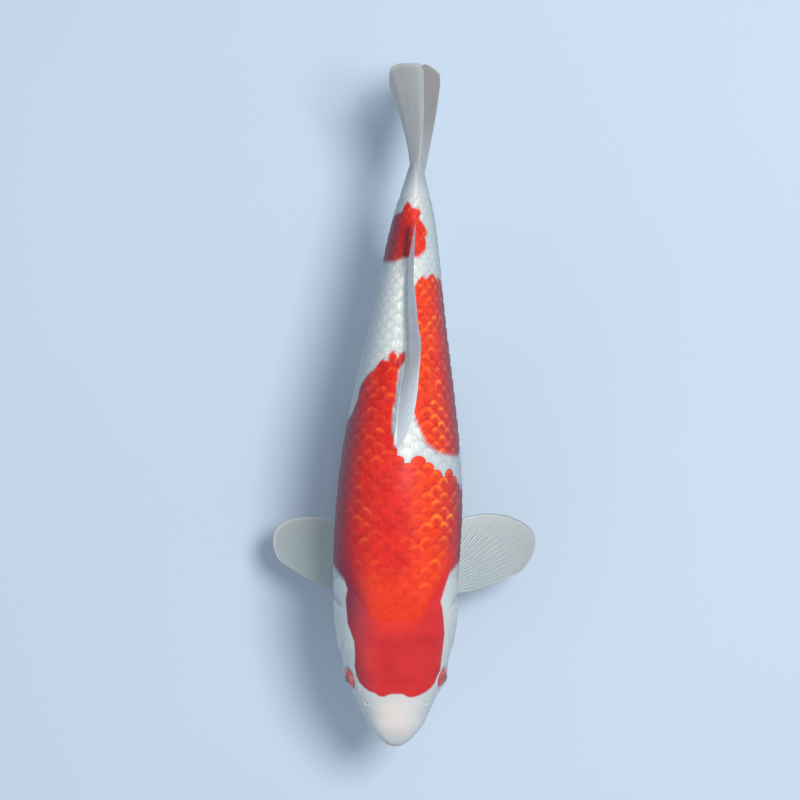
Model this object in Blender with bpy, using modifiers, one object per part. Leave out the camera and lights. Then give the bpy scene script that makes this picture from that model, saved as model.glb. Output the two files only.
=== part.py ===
"""A koi carp as a life-size still model on a display stand.

The fish lies level, nose towards -Y and back towards +Z, as it hangs in still water: paired fins spread,
the dorsal fin half folded to the fish's left and the tail fin gently twisted. A slim base with two rods
carries it under the belly.

Lengths are in millimetres here and become metres when a mesh is made. A place on the fish is written
(x, d, z): x to the left of its spine, d behind the tip of the snout and z above the axis of the body.
"""

import math

import bmesh
import bpy
import numpy as np
from mathutils import Vector

MM = 0.001

# ---- driving dimensions -------------------------------------------------------------------------------
TOTAL_LENGTH = 554.0
AXIS_HEIGHT = 128.0  # of the fish's axis above the floor
GAP = 0.3  # clearance that neighbouring pieces keep
RING_SIDES = 36  # sides of each ring of the body loft

# How the body grows along its length. Each row: behind the snout, half width, back above the axis,
# belly below the axis, level of the widest part, and the fullness of the upper and the lower half
# (2 is an ellipse, more is boxier).
BODY_STATIONS = np.array(
    [
        (0, 15.0, 1.0, 20.0, -9.5, 2.2, 2.2),
        (20, 23.8, 11.0, 27.0, -8.0, 2.2, 2.2),
        (44, 34.3, 22.0, 34.5, -4.0, 2.4, 2.2),
        (69, 42.6, 32.5, 42.0, -3.0, 2.4, 2.2),
        (101, 48.8, 44.5, 50.0, -2.0, 2.3, 2.3),
        (133, 50.9, 54.0, 56.0, 0.0, 2.2, 2.3),
        (181, 51.4, 63.0, 62.0, 2.0, 2.1, 2.3),
        (214, 50.0, 66.5, 64.0, 2.0, 2.0, 2.3),
        (246, 46.8, 66.5, 63.5, 2.0, 2.0, 2.3),
        (278, 42.2, 63.0, 60.5, 2.0, 2.0, 2.2),
        (310, 36.8, 57.0, 55.0, 1.0, 2.0, 2.1),
        (343, 30.9, 50.0, 48.0, 1.0, 2.0, 2.1),
        (375, 25.8, 42.5, 40.5, 0.0, 2.0, 2.0),
        (407, 20.8, 35.5, 33.0, 0.0, 2.0, 2.0),
        (431, 16.2, 30.5, 28.5, 0.0, 2.0, 2.0),
        (448, 11.8, 28.0, 26.5, 0.0, 2.0, 2.0),
        (462, 7.6, 27.5, 26.5, 0.0, 2.0, 2.0),
        (472, 5.0, 28.5, 27.5, 0.0, 2.0, 2.0),
        (480, 2.8, 29.0, 28.0, 0.0, 2.0, 2.0),
    ]
)
BODY_LENGTH = 480.0  # to the end of the tail stem's flesh
SNOUT_ROUNDING = 20.0  # length over which the snout closes to a round end

# How the spine swings sideways and the back leans: behind the snout, to the left, degrees to the left.
SPINE_STATIONS = np.array(
    [
        (0, -5.5, 2.0),
        (70, -6.0, 2.0),
        (125, -5.9, 0.5),
        (200, -3.0, -2.0),
        (275, -0.1, -2.7),
        (354, 4.3, -3.2),
        (402, 7.2, -2.0),
        (451, 9.7, 0.0),
        (480, 11.0, 0.0),
    ]
)

# The head ends at the gill opening, a round cut seen from the side.
GILL_OPENING_CENTRE = (58.0, -3.0)  # d, z
GILL_OPENING_RADIUS = 63.0
TRUNK_CUT = 238.0  # just ahead of the dorsal fin
TAIL_STEM_CUT = 396.0  # behind the dorsal and anal fins

COVER_CENTRE = (112.0, -9.0)  # the gill cover is a round plate of this centre and radius,
COVER_RADIUS = 37.0  # as far back as the gill opening,
COVER_THICKNESS = 3.5  # and this thick

MOUTH_LEVEL = -14.0  # the mouth slit starts at this level,
JAW_CORNER = (18.0, -21.0)  # runs back to here, d and z,
JAW_HINGE = (37.0, -46.0)  # and the lower jaw ends here under the chin

EYE_PLACE = (30.6, 58.4, 3.4)  # the eyeballs sit deep: about a tenth of each stands out of the head
EYE_RADIUS = 11.3

FIN_THICKNESS = 1.0


# ---- shape of the body --------------------------------------------------------------------------------
def along(table, column, d):
    """The value of a column at d, on a smooth curve through the table that never overshoots its rows."""
    at, values = table[:, 0], table[:, column]
    slope = np.diff(values) / np.diff(at)
    turn = np.concatenate([[slope[0]], np.zeros(len(slope) - 1), [slope[-1]]])
    for i in range(1, len(slope)):
        if slope[i - 1] * slope[i] > 0:
            turn[i] = 2 * slope[i - 1] * slope[i] / (slope[i - 1] + slope[i])
    i = int(np.clip(np.searchsorted(at, d) - 1, 0, len(slope) - 1))
    span = at[i + 1] - at[i]
    t = min(max((d - at[i]) / span, 0.0), 1.0)
    return float(
        values[i] * (1 + 2 * t) * (1 - t) ** 2
        + values[i + 1] * t * t * (3 - 2 * t)
        + span * (turn[i] * t * (1 - t) ** 2 + turn[i + 1] * t * t * (t - 1))
    )


def spine(d):
    return along(SPINE_STATIONS, 1, d)


def lean(d):
    return math.radians(along(SPINE_STATIONS, 2, d))


def back_level(d):
    return along(BODY_STATIONS, 2, d)


def belly_level(d):
    return -along(BODY_STATIONS, 3, d)


def body_point(d, angle, grow=0.0):
    """A point of the body at d, angle radians round from the back towards the fish's left, grown outwards."""
    half, back, belly, level, upper, lower = (along(BODY_STATIONS, c, d) for c in range(1, 7))
    mouth = BODY_STATIONS[0, 4]
    closing = math.sqrt(max(0.0, 1 - (1 - min(d, SNOUT_ROUNDING) / SNOUT_ROUNDING) ** 2))
    sine, cosine = math.sin(angle), math.cos(angle)
    height, fullness = (back - level, upper) if cosine > 0 else (belly + level, lower)
    x = (half * closing + grow) * math.copysign(abs(sine) ** (2 / fullness), sine)
    z = (height * closing + grow) * math.copysign(abs(cosine) ** (2 / fullness), cosine)
    return x, d, mouth + (level - mouth) * closing + z


def level_place(point):
    """A point over the stand, x from the model's middle plane, as a point of the scene in metres."""
    x, d, z = point
    return Vector((x, d - TOTAL_LENGTH / 2, z + AXIS_HEIGHT)) * MM


def place(point):
    """A place on the fish as a point of the scene: turned by the lean and swung by the spine."""
    x, d, z = point
    turn = lean(d)
    return level_place(
        (spine(d) + x * math.cos(turn) + z * math.sin(turn), d, z * math.cos(turn) - x * math.sin(turn))
    )


# ---- scene helpers ------------------------------------------------------------------------------------
def clear_scene():
    for obj in list(bpy.data.objects):
        bpy.data.objects.remove(obj, do_unlink=True)


def new_collection(name):
    made = bpy.data.collections.new(name)
    bpy.context.scene.collection.children.link(made)
    return made


def new_material(name, colour, roughness, metallic=0.0):
    material = bpy.data.materials.new(name)
    material.use_nodes = True
    shader = material.node_tree.nodes["Principled BSDF"]
    shader.inputs["Base Color"].default_value = (*colour, 1.0)
    shader.inputs["Roughness"].default_value = roughness
    shader.inputs["Metallic"].default_value = metallic
    return material


def new_object(name, mesh, collection, material=None):
    made = bpy.data.objects.new(name, mesh)
    collection.objects.link(made)
    if material and not mesh.materials:
        mesh.materials.append(material)
    return made


def new_cutter(name, mesh):
    made = new_object(name, mesh, CUTTERS)
    made.hide_render = True
    made.display_type = "WIRE"
    return made


def combine(obj, other, operation):
    """Adds a Boolean with the other object, by DIFFERENCE, INTERSECT or UNION."""
    modifier = obj.modifiers.new(f"{operation.lower()} {other.name}", "BOOLEAN")
    modifier.operation = operation
    modifier.object = other
    modifier.solver = "EXACT"


def finish_mesh(bm, name, smooth_angle=35.0):
    bmesh.ops.recalc_face_normals(bm, faces=bm.faces)
    mesh = bpy.data.meshes.new(name)
    bm.to_mesh(mesh)
    bm.free()
    mesh.shade_smooth()
    mesh.set_sharp_from_angle(angle=math.radians(smooth_angle))
    return mesh


# ---- building blocks ----------------------------------------------------------------------------------
def ring_places():
    """Where the body loft's rings stand: close together at the round snout, wider apart on the trunk."""
    snout = [SNOUT_ROUNDING * (1 - math.cos(math.pi / 2 * i / 6)) for i in range(1, 7)]
    head = list(np.arange(30.0, 128.0, 10.6))
    trunk = list(np.arange(142.0, 436.0, 15.5))
    stem = [447.0, 457.0, 466.0, 473.0, BODY_LENGTH]
    return snout + head + trunk + stem


def body_mesh(name, grow=0.0):
    """The whole body from snout to tail root as one closed loft."""
    bm = bmesh.new()
    rings = []
    for d in ring_places():
        turns = (2 * math.pi * i / RING_SIDES for i in range(RING_SIDES))
        rings.append([bm.verts.new(place(body_point(d, turn, grow))) for turn in turns])
    for fore, aft in zip(rings, rings[1:]):
        for i in range(RING_SIDES):
            j = (i + 1) % RING_SIDES
            bm.faces.new((fore[i], fore[j], aft[j], aft[i]))
    x, _, z = body_point(0.0, 0.0)
    nose = bm.verts.new(place((x, -grow, z)))
    tail = bm.verts.new(place((0.0, BODY_LENGTH + 0.4 + grow, 0.5)))
    for i in range(RING_SIDES):
        j = (i + 1) % RING_SIDES
        bm.faces.new((nose, rings[0][j], rings[0][i]))
        bm.faces.new((tail, rings[-1][i], rings[-1][j]))
    return finish_mesh(bm, name)


def new_drum(name, centre, radius, x_from, x_to, sides=64):
    """A cutter: a cylinder lying across the fish, round a centre (d, z)."""
    bm = bmesh.new()
    size = {"radius1": radius * MM, "radius2": radius * MM, "depth": (x_to - x_from) * MM}
    bmesh.ops.create_cone(bm, cap_ends=True, segments=sides, **size)
    drum = new_cutter(name, finish_mesh(bm, name))
    drum.location = level_place(((x_from + x_to) / 2, *centre))
    drum.rotation_euler = (0.0, math.pi / 2, math.pi)
    return drum


def new_block(name, d_from, d_to, size=180.0):
    """A cutter: a block as tall and wide as the fish, over a stretch of its length."""
    bm = bmesh.new()
    bmesh.ops.create_cube(bm, size=1.0)
    bmesh.ops.scale(bm, vec=Vector((size, d_to - d_from, size)) * MM, verts=bm.verts)
    block = new_cutter(name, finish_mesh(bm, name))
    block.location = level_place((0.0, (d_from + d_to) / 2, 0.0))
    return block


def new_wedge(name, outline, half_width=60.0):
    """A cutter: an outline of (d, z) points drawn out across the fish."""
    bm = bmesh.new()
    side = bm.faces.new([bm.verts.new(level_place((-half_width, d, z))) for d, z in outline])
    grown = bmesh.ops.extrude_face_region(bm, geom=[side])
    moved = [item for item in grown["geom"] if isinstance(item, bmesh.types.BMVert)]
    bmesh.ops.translate(bm, vec=Vector((2 * half_width, 0.0, 0.0)) * MM, verts=moved)
    return new_cutter(name, finish_mesh(bm, name))


def fin_mesh(name, root, tip, bow, rays=14, steps=5):
    """An open sheet of fin: rays run from root(s) to tip(s), s from 0 to 1, each bowed out by bow(s)."""
    bm = bmesh.new()
    rows = []
    for i in range(rays):
        s = i / (rays - 1)
        start, end, swell = (np.array(curve(s)) for curve in (root, tip, bow))
        row = []
        for j in range(steps + 1):
            t = j / steps
            row.append(bm.verts.new(place(start + (end - start) * t + swell * math.sin(math.pi * t))))
        rows.append(row)
    for fore, aft in zip(rows, rows[1:]):
        for j in range(steps):
            bm.faces.new((fore[j], fore[j + 1], aft[j + 1], aft[j]))
    return finish_mesh(bm, name)


def new_fin(name, mesh, thickness=FIN_THICKNESS):
    """A fin of even thickness whose root follows the body's skin."""
    fin = new_object(name, mesh, PARTS, FIN_WHITE)
    solid = fin.modifiers.new("thickness", "SOLIDIFY")
    solid.thickness = thickness * MM
    solid.offset = 0.0
    combine(fin, BODY_CLEARANCE, "DIFFERENCE")
    return fin


# ---- body ---------------------------------------------------------------------------------------------
def build_body():
    """Head, front and rear trunk and tail stem: one loft parted by thin cuts."""
    gill_cut = new_drum("gill_cut", GILL_OPENING_CENTRE, GILL_OPENING_RADIUS + GAP, -80.0, 80.0)
    whole = body_mesh("koi_body")
    whole.materials.append(SKIN_RED)
    lengths = (
        ("trunk_front", 40.0, TRUNK_CUT - GAP),
        ("trunk_rear", TRUNK_CUT, TAIL_STEM_CUT - GAP),
        ("tail_stem", TAIL_STEM_CUT, 500.0),
    )
    for name, d_from, d_to in lengths:
        part = new_object(name, whole, PARTS)
        combine(part, new_block(f"{name}_length", d_from, d_to), "INTERSECT")
        if name == "trunk_front":
            combine(part, gill_cut, "DIFFERENCE")


def build_head():
    """The head as far as the gill opening, with its jaw, gill covers and eyes parted from it."""
    head = new_object("head", body_mesh("koi_head"), PARTS, SKIN_RED)
    head_length = new_drum("head_length", GILL_OPENING_CENTRE, GILL_OPENING_RADIUS, -80.0, 80.0)
    combine(head, head_length, "INTERSECT")
    build_lower_jaw(head)
    for side, word in ((1, "left"), (-1, "right")):
        build_gill_cover(head, head_length, side, word)
        build_eye(head, side, word)


def build_lower_jaw(head):
    outline = [
        (-12.0, MOUTH_LEVEL),
        (0.0, MOUTH_LEVEL),
        JAW_CORNER,
        JAW_HINGE,
        (JAW_HINGE[0] + 1.0, -80.0),
        (-12.0, -80.0),
    ]
    combine(head, new_wedge("jaw_room", outline), "DIFFERENCE")
    shape = new_wedge("jaw_shape", [(d - GAP, z - GAP) for d, z in outline])
    jaw = new_object("lower_jaw", body_mesh("koi_jaw"), PARTS, SKIN_WHITE)
    combine(jaw, shape, "INTERSECT")


def build_gill_cover(head, head_length, side, word):
    """A curved bony plate on the cheek, let into a pocket of the head."""
    reach = sorted((spine(110.0), spine(110.0) + side * 90.0))
    pocket = new_drum(f"gill_pocket_{word}", COVER_CENTRE, COVER_RADIUS, *reach)
    core = new_cutter(f"core_{word}", body_mesh(f"core_{word}", -COVER_THICKNESS))
    combine(pocket, core, "DIFFERENCE")
    combine(head, pocket, "DIFFERENCE")

    cover = new_object(f"gill_cover_{word}", body_mesh(f"koi_cover_{word}"), PARTS, SKIN_WHITE)
    plate = new_drum(f"gill_plate_{word}", COVER_CENTRE, COVER_RADIUS - GAP, *reach)
    lining = new_cutter(f"lining_{word}", body_mesh(f"lining_{word}", GAP - COVER_THICKNESS))
    combine(cover, plate, "INTERSECT")
    combine(cover, head_length, "INTERSECT")
    combine(cover, lining, "DIFFERENCE")


def ball_mesh(name, radius, segments=16, rings=8):
    bm = bmesh.new()
    bmesh.ops.create_uvsphere(bm, u_segments=segments, v_segments=rings, radius=radius * MM)
    return finish_mesh(bm, name)


def build_eye(head, side, word):
    x, d, z = EYE_PLACE
    eye = new_object(f"eye_{word}", ball_mesh(f"eye_{word}", EYE_RADIUS), PARTS, EYE_DARK)
    socket = new_cutter(f"socket_{word}", ball_mesh(f"socket_{word}", EYE_RADIUS + GAP))
    for part in (eye, socket):
        part.location = place((side * x, d, z))
        part.rotation_euler = (0.0, math.pi / 2, 0.0)
    combine(head, socket, "DIFFERENCE")


# Each barbel: how far out from the spine, behind the snout and above the axis, from root to tip.
BARBELS = {
    "front": ([(13.0, 9.5, -10.0), (16.0, 8.5, -14.0), (17.5, 10.0, -20.0), (17.5, 13.0, -25.5)], 1.0),
    "rear": ([(18.0, 21.0, -18.0), (22.0, 21.0, -23.0), (24.0, 24.0, -32.0), (24.0, 31.0, -41.0)], 1.4),
}


def build_barbels():
    """Two pairs of feelers: short ones on the upper lip and long ones at the corners of the mouth."""
    for (which, (route, radius)), (side, word) in (
        (barbel, hand) for barbel in BARBELS.items() for hand in ((1, "left"), (-1, "right"))
    ):
        curve = bpy.data.curves.new(f"barbel_{which}_{word}", "CURVE")
        curve.dimensions = "3D"
        curve.bevel_depth = radius * MM
        curve.bevel_resolution = 1
        curve.resolution_u = 3
        curve.use_fill_caps = True
        spline = curve.splines.new("NURBS")
        spline.points.add(len(route) - 1)
        spline.use_endpoint_u = True
        spline.order_u = 3
        for i, (x, d, z) in enumerate(route):
            spline.points[i].co = (*place((side * x, d, z)), 1.0)
            spline.points[i].radius = 1.0 - 0.6 * i / (len(route) - 1)
        barbel = as_mesh(bpy.data.objects.new("route", curve), f"barbel_{which}_{word}", SKIN_WHITE)
        combine(barbel, BODY_CLEARANCE, "DIFFERENCE")


def as_mesh(obj, name, material):
    """A curve object turned into a part with a mesh, its loose caps welded."""
    PARTS.objects.link(obj)
    bpy.context.view_layer.update()
    mesh = bpy.data.meshes.new_from_object(obj.evaluated_get(bpy.context.evaluated_depsgraph_get()))
    bm = bmesh.new()
    bm.from_mesh(mesh)
    bmesh.ops.remove_doubles(bm, verts=bm.verts, dist=0.00005)
    bpy.data.objects.remove(obj)
    return new_object(name, finish_mesh(bm, name), PARTS, material)


# ---- fins ---------------------------------------------------------------------------------------------
# Tips of the pectoral fin's rays in the fin's own plane: share of the rays from the leading edge, out
# from the root and back from it.
PECTORAL_TIPS = np.array(
    [
        (0.00, 65.5, 8.5),
        (0.10, 74.5, 18.0),
        (0.20, 78.8, 27.0),
        (0.30, 79.8, 35.5),
        (0.40, 77.5, 43.5),
        (0.50, 71.5, 50.0),
        (0.60, 62.5, 55.0),
        (0.70, 51.0, 58.8),
        (0.80, 37.0, 60.2),
        (0.90, 21.0, 58.0),
        (1.00, 5.0, 50.0),
    ]
)
PECTORAL_ROOT = (36.0, 127.5, -40.0)
PECTORAL_ROOT_HALF = 7.0
# How each fin is held: degrees below level and swept back, and the share of its fan that is open.
PECTORAL_POSE = {"left": (12.0, 0.0, 1.0), "right": (22.0, 9.0, 0.84)}
PECTORAL_PITCH = math.radians(5.0)  # its trailing edge let down


def build_pectoral_fins():
    """Broad paddles that spread from behind the gill covers."""
    for side, word in ((1, "left"), (-1, "right")):
        droop, sweep, fan = PECTORAL_POSE[word]
        droop, sweep = math.radians(droop), math.radians(sweep)
        level_out = np.array((side * math.cos(droop), 0.0, -math.sin(droop)))
        level_back = np.array((0.0, math.cos(PECTORAL_PITCH), -math.sin(PECTORAL_PITCH)))
        out = level_out * math.cos(sweep) + level_back * math.sin(sweep)
        back = (level_back * math.cos(sweep) - level_out * math.sin(sweep)) * fan
        x, d, z = PECTORAL_ROOT
        centre = np.array((side * x, d, z))

        def root(s, centre=centre, out=out, back=back):
            return centre - 4.0 * out + back * PECTORAL_ROOT_HALF * (2 * s - 1)

        def tip(s, centre=centre, out=out, back=back):
            return centre + along(PECTORAL_TIPS, 1, s) * out + along(PECTORAL_TIPS, 2, s) * back

        def bow(s, back=back):
            return -4.5 * (1 - s) * back

        new_fin(f"pectoral_fin_{word}", fin_mesh(f"pectoral_fin_{word}", root, tip, bow, rays=16, steps=5))


# Free edge of the dorsal fin: share of the rays from the front, leaning over to the left of the ridge,
# behind the snout and height above the back.
DORSAL_EDGE = np.array(
    [
        (0.00, 16.0, 322.0, 26.0),
        (0.20, 16.0, 325.0, 26.0),
        (0.40, 15.0, 331.0, 25.0),
        (0.55, 12.4, 341.0, 23.0),
        (0.70, 10.0, 356.0, 20.5),
        (0.85, 7.0, 380.0, 17.0),
        (1.00, 3.6, 422.0, 10.0),
    ]
)
DORSAL_BASE = (240.0, 390.0)


def build_dorsal_fin():
    """Half folded: its rays lie back along the fish and lean to the left."""

    def root(s):
        d = DORSAL_BASE[0] + (DORSAL_BASE[1] - DORSAL_BASE[0]) * s
        return 3.5 * (1 - s) ** 6, d, back_level(d) - 3.0

    def tip(s):
        over, d, height = (along(DORSAL_EDGE, c, s) for c in (1, 2, 3))
        return over, d, back_level(d) + height

    def bow(s):
        return 4.0 * (1.0 - s), -1.0, 5.0 - 3.0 * s

    new_fin("dorsal_fin", fin_mesh("dorsal_fin", root, tip, bow, rays=21, steps=5))


PELVIC_ROOT = (15.0, 252.0, -58.0)
PELVIC_LENGTH = 52.0
PELVIC_SPREAD = 20.0  # half width of the fin's end


def build_pelvic_fins():
    """A pair of small paddles under the belly, below the front of the dorsal fin."""
    for side, word in ((1, "left"), (-1, "right")):
        trail = np.array((side * 0.24, 0.88, -0.40))
        across = np.array((side * 0.62, -0.52, -0.58))
        x, d, z = PELVIC_ROOT
        centre = np.array((side * x, d, z))

        def root(s, centre=centre, across=across):
            return centre + across * 5.0 * (1 - 2 * s)

        def tip(s, centre=centre, trail=trail, across=across):
            length = PELVIC_LENGTH * (1 - 0.34 * (2 * s - 0.8) ** 2)
            return centre + trail * length + across * PELVIC_SPREAD * (1 - 2 * s) * 0.8

        def bow(s, across=across):
            return across * 2.5 * (1 - 2 * s)

        new_fin(f"pelvic_fin_{word}", fin_mesh(f"pelvic_fin_{word}", root, tip, bow, rays=9))


ANAL_BASE = (362.0, 392.0)
# Free edge of the anal fin: share of the rays, behind the snout, depth below the axis.
ANAL_EDGE = np.array(
    [(0.0, 395.0, 80.0), (0.25, 404.0, 77.0), (0.5, 410.0, 68.0), (0.75, 413.0, 57.0), (1.0, 413.0, 47.0)]
)


def build_anal_fin():
    """A short fin under the tail stem, its rays swept back."""

    def root(s):
        d = ANAL_BASE[0] + (ANAL_BASE[1] - ANAL_BASE[0]) * s
        return 0.0, d, belly_level(d) + 3.0

    def tip(s):
        d = along(ANAL_EDGE, 1, s)
        return 1.5 * (1 - s), d, -along(ANAL_EDGE, 2, s)

    def bow(s):
        return 0.0, 2.0 - 4.0 * s, -2.0

    new_fin("anal_fin", fin_mesh("anal_fin", root, tip, bow, rays=8))


# Ends of the tail fin's rays, from the lower edge of the fin to the upper: share of the rays, lean to the
# left of the stem, behind the snout and height above the axis. The upper lobe folds over to the right
# and the lower one swings out to the left.
TAIL_EDGE = np.array(
    [
        (0.00, 20.0, 543.0, -54.0),
        (0.08, 19.6, 550.0, -49.0),
        (0.16, 14.0, 553.5, -42.0),
        (0.24, 8.0, 551.0, -34.0),
        (0.32, 1.5, 543.0, -25.5),
        (0.40, -5.0, 531.0, -16.0),
        (0.50, -12.5, 522.0, -4.0),
        (0.60, -18.5, 527.0, 8.0),
        (0.70, -22.5, 538.0, 18.0),
        (0.78, -21.5, 547.0, 26.0),
        (0.86, -13.5, 550.5, 34.5),
        (0.93, -3.0, 550.5, 42.0),
        (1.00, 6.0, 547.0, 48.0),
    ]
)
TAIL_ROOT = 452.0
TAIL_ROOT_HALF = 25.0


def build_tail_fin():
    """A forked fin, its two lobes twisted to opposite sides."""
    middle = spine(BODY_LENGTH)

    def root(s):
        return middle - spine(TAIL_ROOT), TAIL_ROOT, TAIL_ROOT_HALF * (2 * s - 1) + 0.5

    def tip(s):
        over, d, z = (along(TAIL_EDGE, c, s) for c in (1, 2, 3))
        return over, d, z

    def bow(s):
        return 2.0, 0.0, 2.0 * (1 - 2 * s)

    new_fin("tail_fin", fin_mesh("tail_fin", root, tip, bow, rays=31, steps=5))


# ---- stand --------------------------------------------------------------------------------------------
BASE_LENGTH = 208.0
BASE_WIDTH = 80.0
BASE_THICKNESS = 14.0
BASE_CENTRE = 188.0  # behind the snout
BASE_EDGE = 2.0  # rounding of the edges
ROD_RADIUS = 4.0
ROD_FLANGE = (11.0, 3.0)  # radius and thickness of the foot plate
ROD_PLACES = {"front": 136.0, "rear": 232.0}  # behind the snout


def build_stand():
    """A slim wooden base and two steel rods that end at the belly."""
    middle = spine(BASE_CENTRE)
    curve = bpy.data.curves.new("stand_base", "CURVE")
    curve.dimensions = "2D"
    curve.fill_mode = "BOTH"
    curve.extrude = (BASE_THICKNESS / 2 - BASE_EDGE) * MM
    curve.bevel_depth = BASE_EDGE * MM
    curve.bevel_resolution = 2
    curve.offset = -BASE_EDGE * MM
    spline = curve.splines.new("POLY")
    outline = stadium(BASE_LENGTH, BASE_WIDTH)
    spline.points.add(len(outline) - 1)
    spline.use_cyclic_u = True
    for point, (x, y) in zip(spline.points, outline):
        point.co = (x * MM, y * MM, 0.0, 1.0)
    base = as_mesh(bpy.data.objects.new("outline", curve), "stand_base", WOOD)
    base.location = level_place((middle, BASE_CENTRE, BASE_THICKNESS / 2 - AXIS_HEIGHT))
    for word, d in ROD_PLACES.items():
        rod = new_rod(f"stand_rod_{word}")
        rod.location = level_place((spine(d), d, BASE_THICKNESS + GAP - AXIS_HEIGHT))
        combine(rod, BODY_CLEARANCE, "DIFFERENCE")


def stadium(length, width, arc_sides=12):
    """Outline of a bar along y with round ends."""
    radius = width / 2
    straight = length / 2 - radius
    turns = [math.pi * i / arc_sides for i in range(arc_sides + 1)]
    fore = [(radius * math.cos(t), straight + radius * math.sin(t)) for t in turns]
    return fore + [(-x, -y) for x, y in fore]


def new_rod(name, steps=20):
    """A turned rod with a foot plate, long enough to be trimmed by the belly."""
    flange, thick = ROD_FLANGE
    top = AXIS_HEIGHT - BASE_THICKNESS - 40.0
    profile = [(0.0, top), (ROD_RADIUS, top), (ROD_RADIUS, thick), (flange, thick), (flange, 0.0), (0.0, 0.0)]
    bm = bmesh.new()
    points = [bm.verts.new(Vector((radius, 0.0, z)) * MM) for radius, z in profile]
    for upper, lower in zip(points, points[1:]):
        bm.edges.new((upper, lower))
    mesh = bpy.data.meshes.new(name)
    bm.to_mesh(mesh)
    bm.free()
    rod = new_object(name, mesh, PARTS, STEEL)
    turned = rod.modifiers.new("turned", "SCREW")
    turned.steps = steps
    turned.render_steps = steps
    turned.use_merge_vertices = True
    turned.merge_threshold = 0.00001
    return rod


# ---- assembly -----------------------------------------------------------------------------------------
clear_scene()
PARTS = new_collection("koi_carp")
CUTTERS = new_collection("cutters")

SKIN_RED = new_material("skin_red", (0.72, 0.08, 0.03), 0.3)
SKIN_WHITE = new_material("skin_white", (0.75, 0.77, 0.76), 0.3)
FIN_WHITE = new_material("fin_white", (0.66, 0.70, 0.71), 0.35)
EYE_DARK = new_material("eye_dark", (0.05, 0.02, 0.02), 0.1)
WOOD = new_material("stained_wood", (0.05, 0.03, 0.02), 0.4)
STEEL = new_material("brushed_steel", (0.55, 0.55, 0.56), 0.35, 1.0)

BODY_CLEARANCE = new_cutter("body_clearance", body_mesh("body_clearance", GAP))
build_body()
build_head()
build_barbels()
build_pectoral_fins()
build_dorsal_fin()
build_pelvic_fins()
build_anal_fin()
build_tail_fin()
build_stand()
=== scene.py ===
"""The looks of the koi carp display model: skin, scales, eyes, barbels, fins, stand and studio.

Lengths are in millimetres until a mesh is made. A place on the fish is (x, d, z): x to the left of its
spine, d behind the tip of the snout and z above the axis of the body. On the hide a place is (d, share):
share 0 is the ridge of the back, +1 and -1 the middle of the belly, round the left and the right side.
"""

import math

import bpy
import numpy as np
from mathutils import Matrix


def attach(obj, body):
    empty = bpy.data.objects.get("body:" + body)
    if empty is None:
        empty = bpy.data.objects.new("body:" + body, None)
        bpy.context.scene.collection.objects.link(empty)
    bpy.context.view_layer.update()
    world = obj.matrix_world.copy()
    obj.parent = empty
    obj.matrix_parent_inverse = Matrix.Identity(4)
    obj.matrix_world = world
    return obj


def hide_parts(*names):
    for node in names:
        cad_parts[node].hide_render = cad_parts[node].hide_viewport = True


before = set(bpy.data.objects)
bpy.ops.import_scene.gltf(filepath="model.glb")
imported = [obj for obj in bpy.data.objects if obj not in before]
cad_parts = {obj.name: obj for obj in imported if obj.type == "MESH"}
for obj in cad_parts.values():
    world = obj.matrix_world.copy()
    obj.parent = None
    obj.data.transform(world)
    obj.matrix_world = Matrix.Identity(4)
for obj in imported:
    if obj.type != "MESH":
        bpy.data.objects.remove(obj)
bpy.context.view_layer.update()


# ---- Skin ---------------------------------------------------------------------------------------------
# One soft hide covers head, jaw, gill covers and trunk, from the lips to the root of the tail. It is bare
# and folded round mouth, eyes and gill covers, and lies a scale's depth lower on the trunk, where the
# scales cover it. Its ground is white with three red patches.
BODY_FORM = np.array(
    [  # behind the snout, half width, back, belly, level of the widest part, fullness above and below
        (0, 15.0, 1.0, 20.0, -9.5, 2.2, 2.2),
        (20, 23.8, 11.0, 27.0, -8.0, 2.2, 2.2),
        (44, 34.3, 22.0, 34.5, -4.0, 2.4, 2.2),
        (69, 42.6, 32.5, 42.0, -3.0, 2.4, 2.2),
        (101, 48.8, 44.5, 50.0, -2.0, 2.3, 2.3),
        (133, 50.9, 54.0, 56.0, 0.0, 2.2, 2.3),
        (181, 51.4, 63.0, 62.0, 2.0, 2.1, 2.3),
        (214, 50.0, 66.5, 64.0, 2.0, 2.0, 2.3),
        (246, 46.8, 66.5, 63.5, 2.0, 2.0, 2.3),
        (278, 42.2, 63.0, 60.5, 2.0, 2.0, 2.2),
        (310, 36.8, 57.0, 55.0, 1.0, 2.0, 2.1),
        (343, 30.9, 50.0, 48.0, 1.0, 2.0, 2.1),
        (375, 25.8, 42.5, 40.5, 0.0, 2.0, 2.0),
        (407, 20.8, 35.5, 33.0, 0.0, 2.0, 2.0),
        (431, 16.2, 30.5, 28.5, 0.0, 2.0, 2.0),
        (448, 11.8, 28.0, 26.5, 0.0, 2.0, 2.0),
        (462, 7.8, 27.2, 26.2, 0.0, 2.0, 2.0),
        (472, 4.6, 25.0, 24.0, 0.0, 2.0, 2.0),
        (480, 1.4, 19.0, 18.0, 0.0, 2.0, 2.0),
    ]
)
SPINE_SWING = np.array(
    [  # behind the snout, spine to the left, lean of the back to the left in degrees
        (0, -5.5, 2.0),
        (70, -6.0, 2.0),
        (125, -5.9, 0.5),
        (200, -3.0, -2.0),
        (275, -0.1, -2.7),
        (354, 4.3, -3.2),
        (402, 7.2, -2.0),
        (451, 9.7, 0.0),
        (480, 11.0, 0.0),
    ]
)
BODY_LENGTH = 480.0
TOTAL_LENGTH = 554.0
AXIS_HEIGHT = 128.0
SNOUT_ROUNDING = 20.0
COAT_DEPTH = 1.1  # of the scales over the skin


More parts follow.
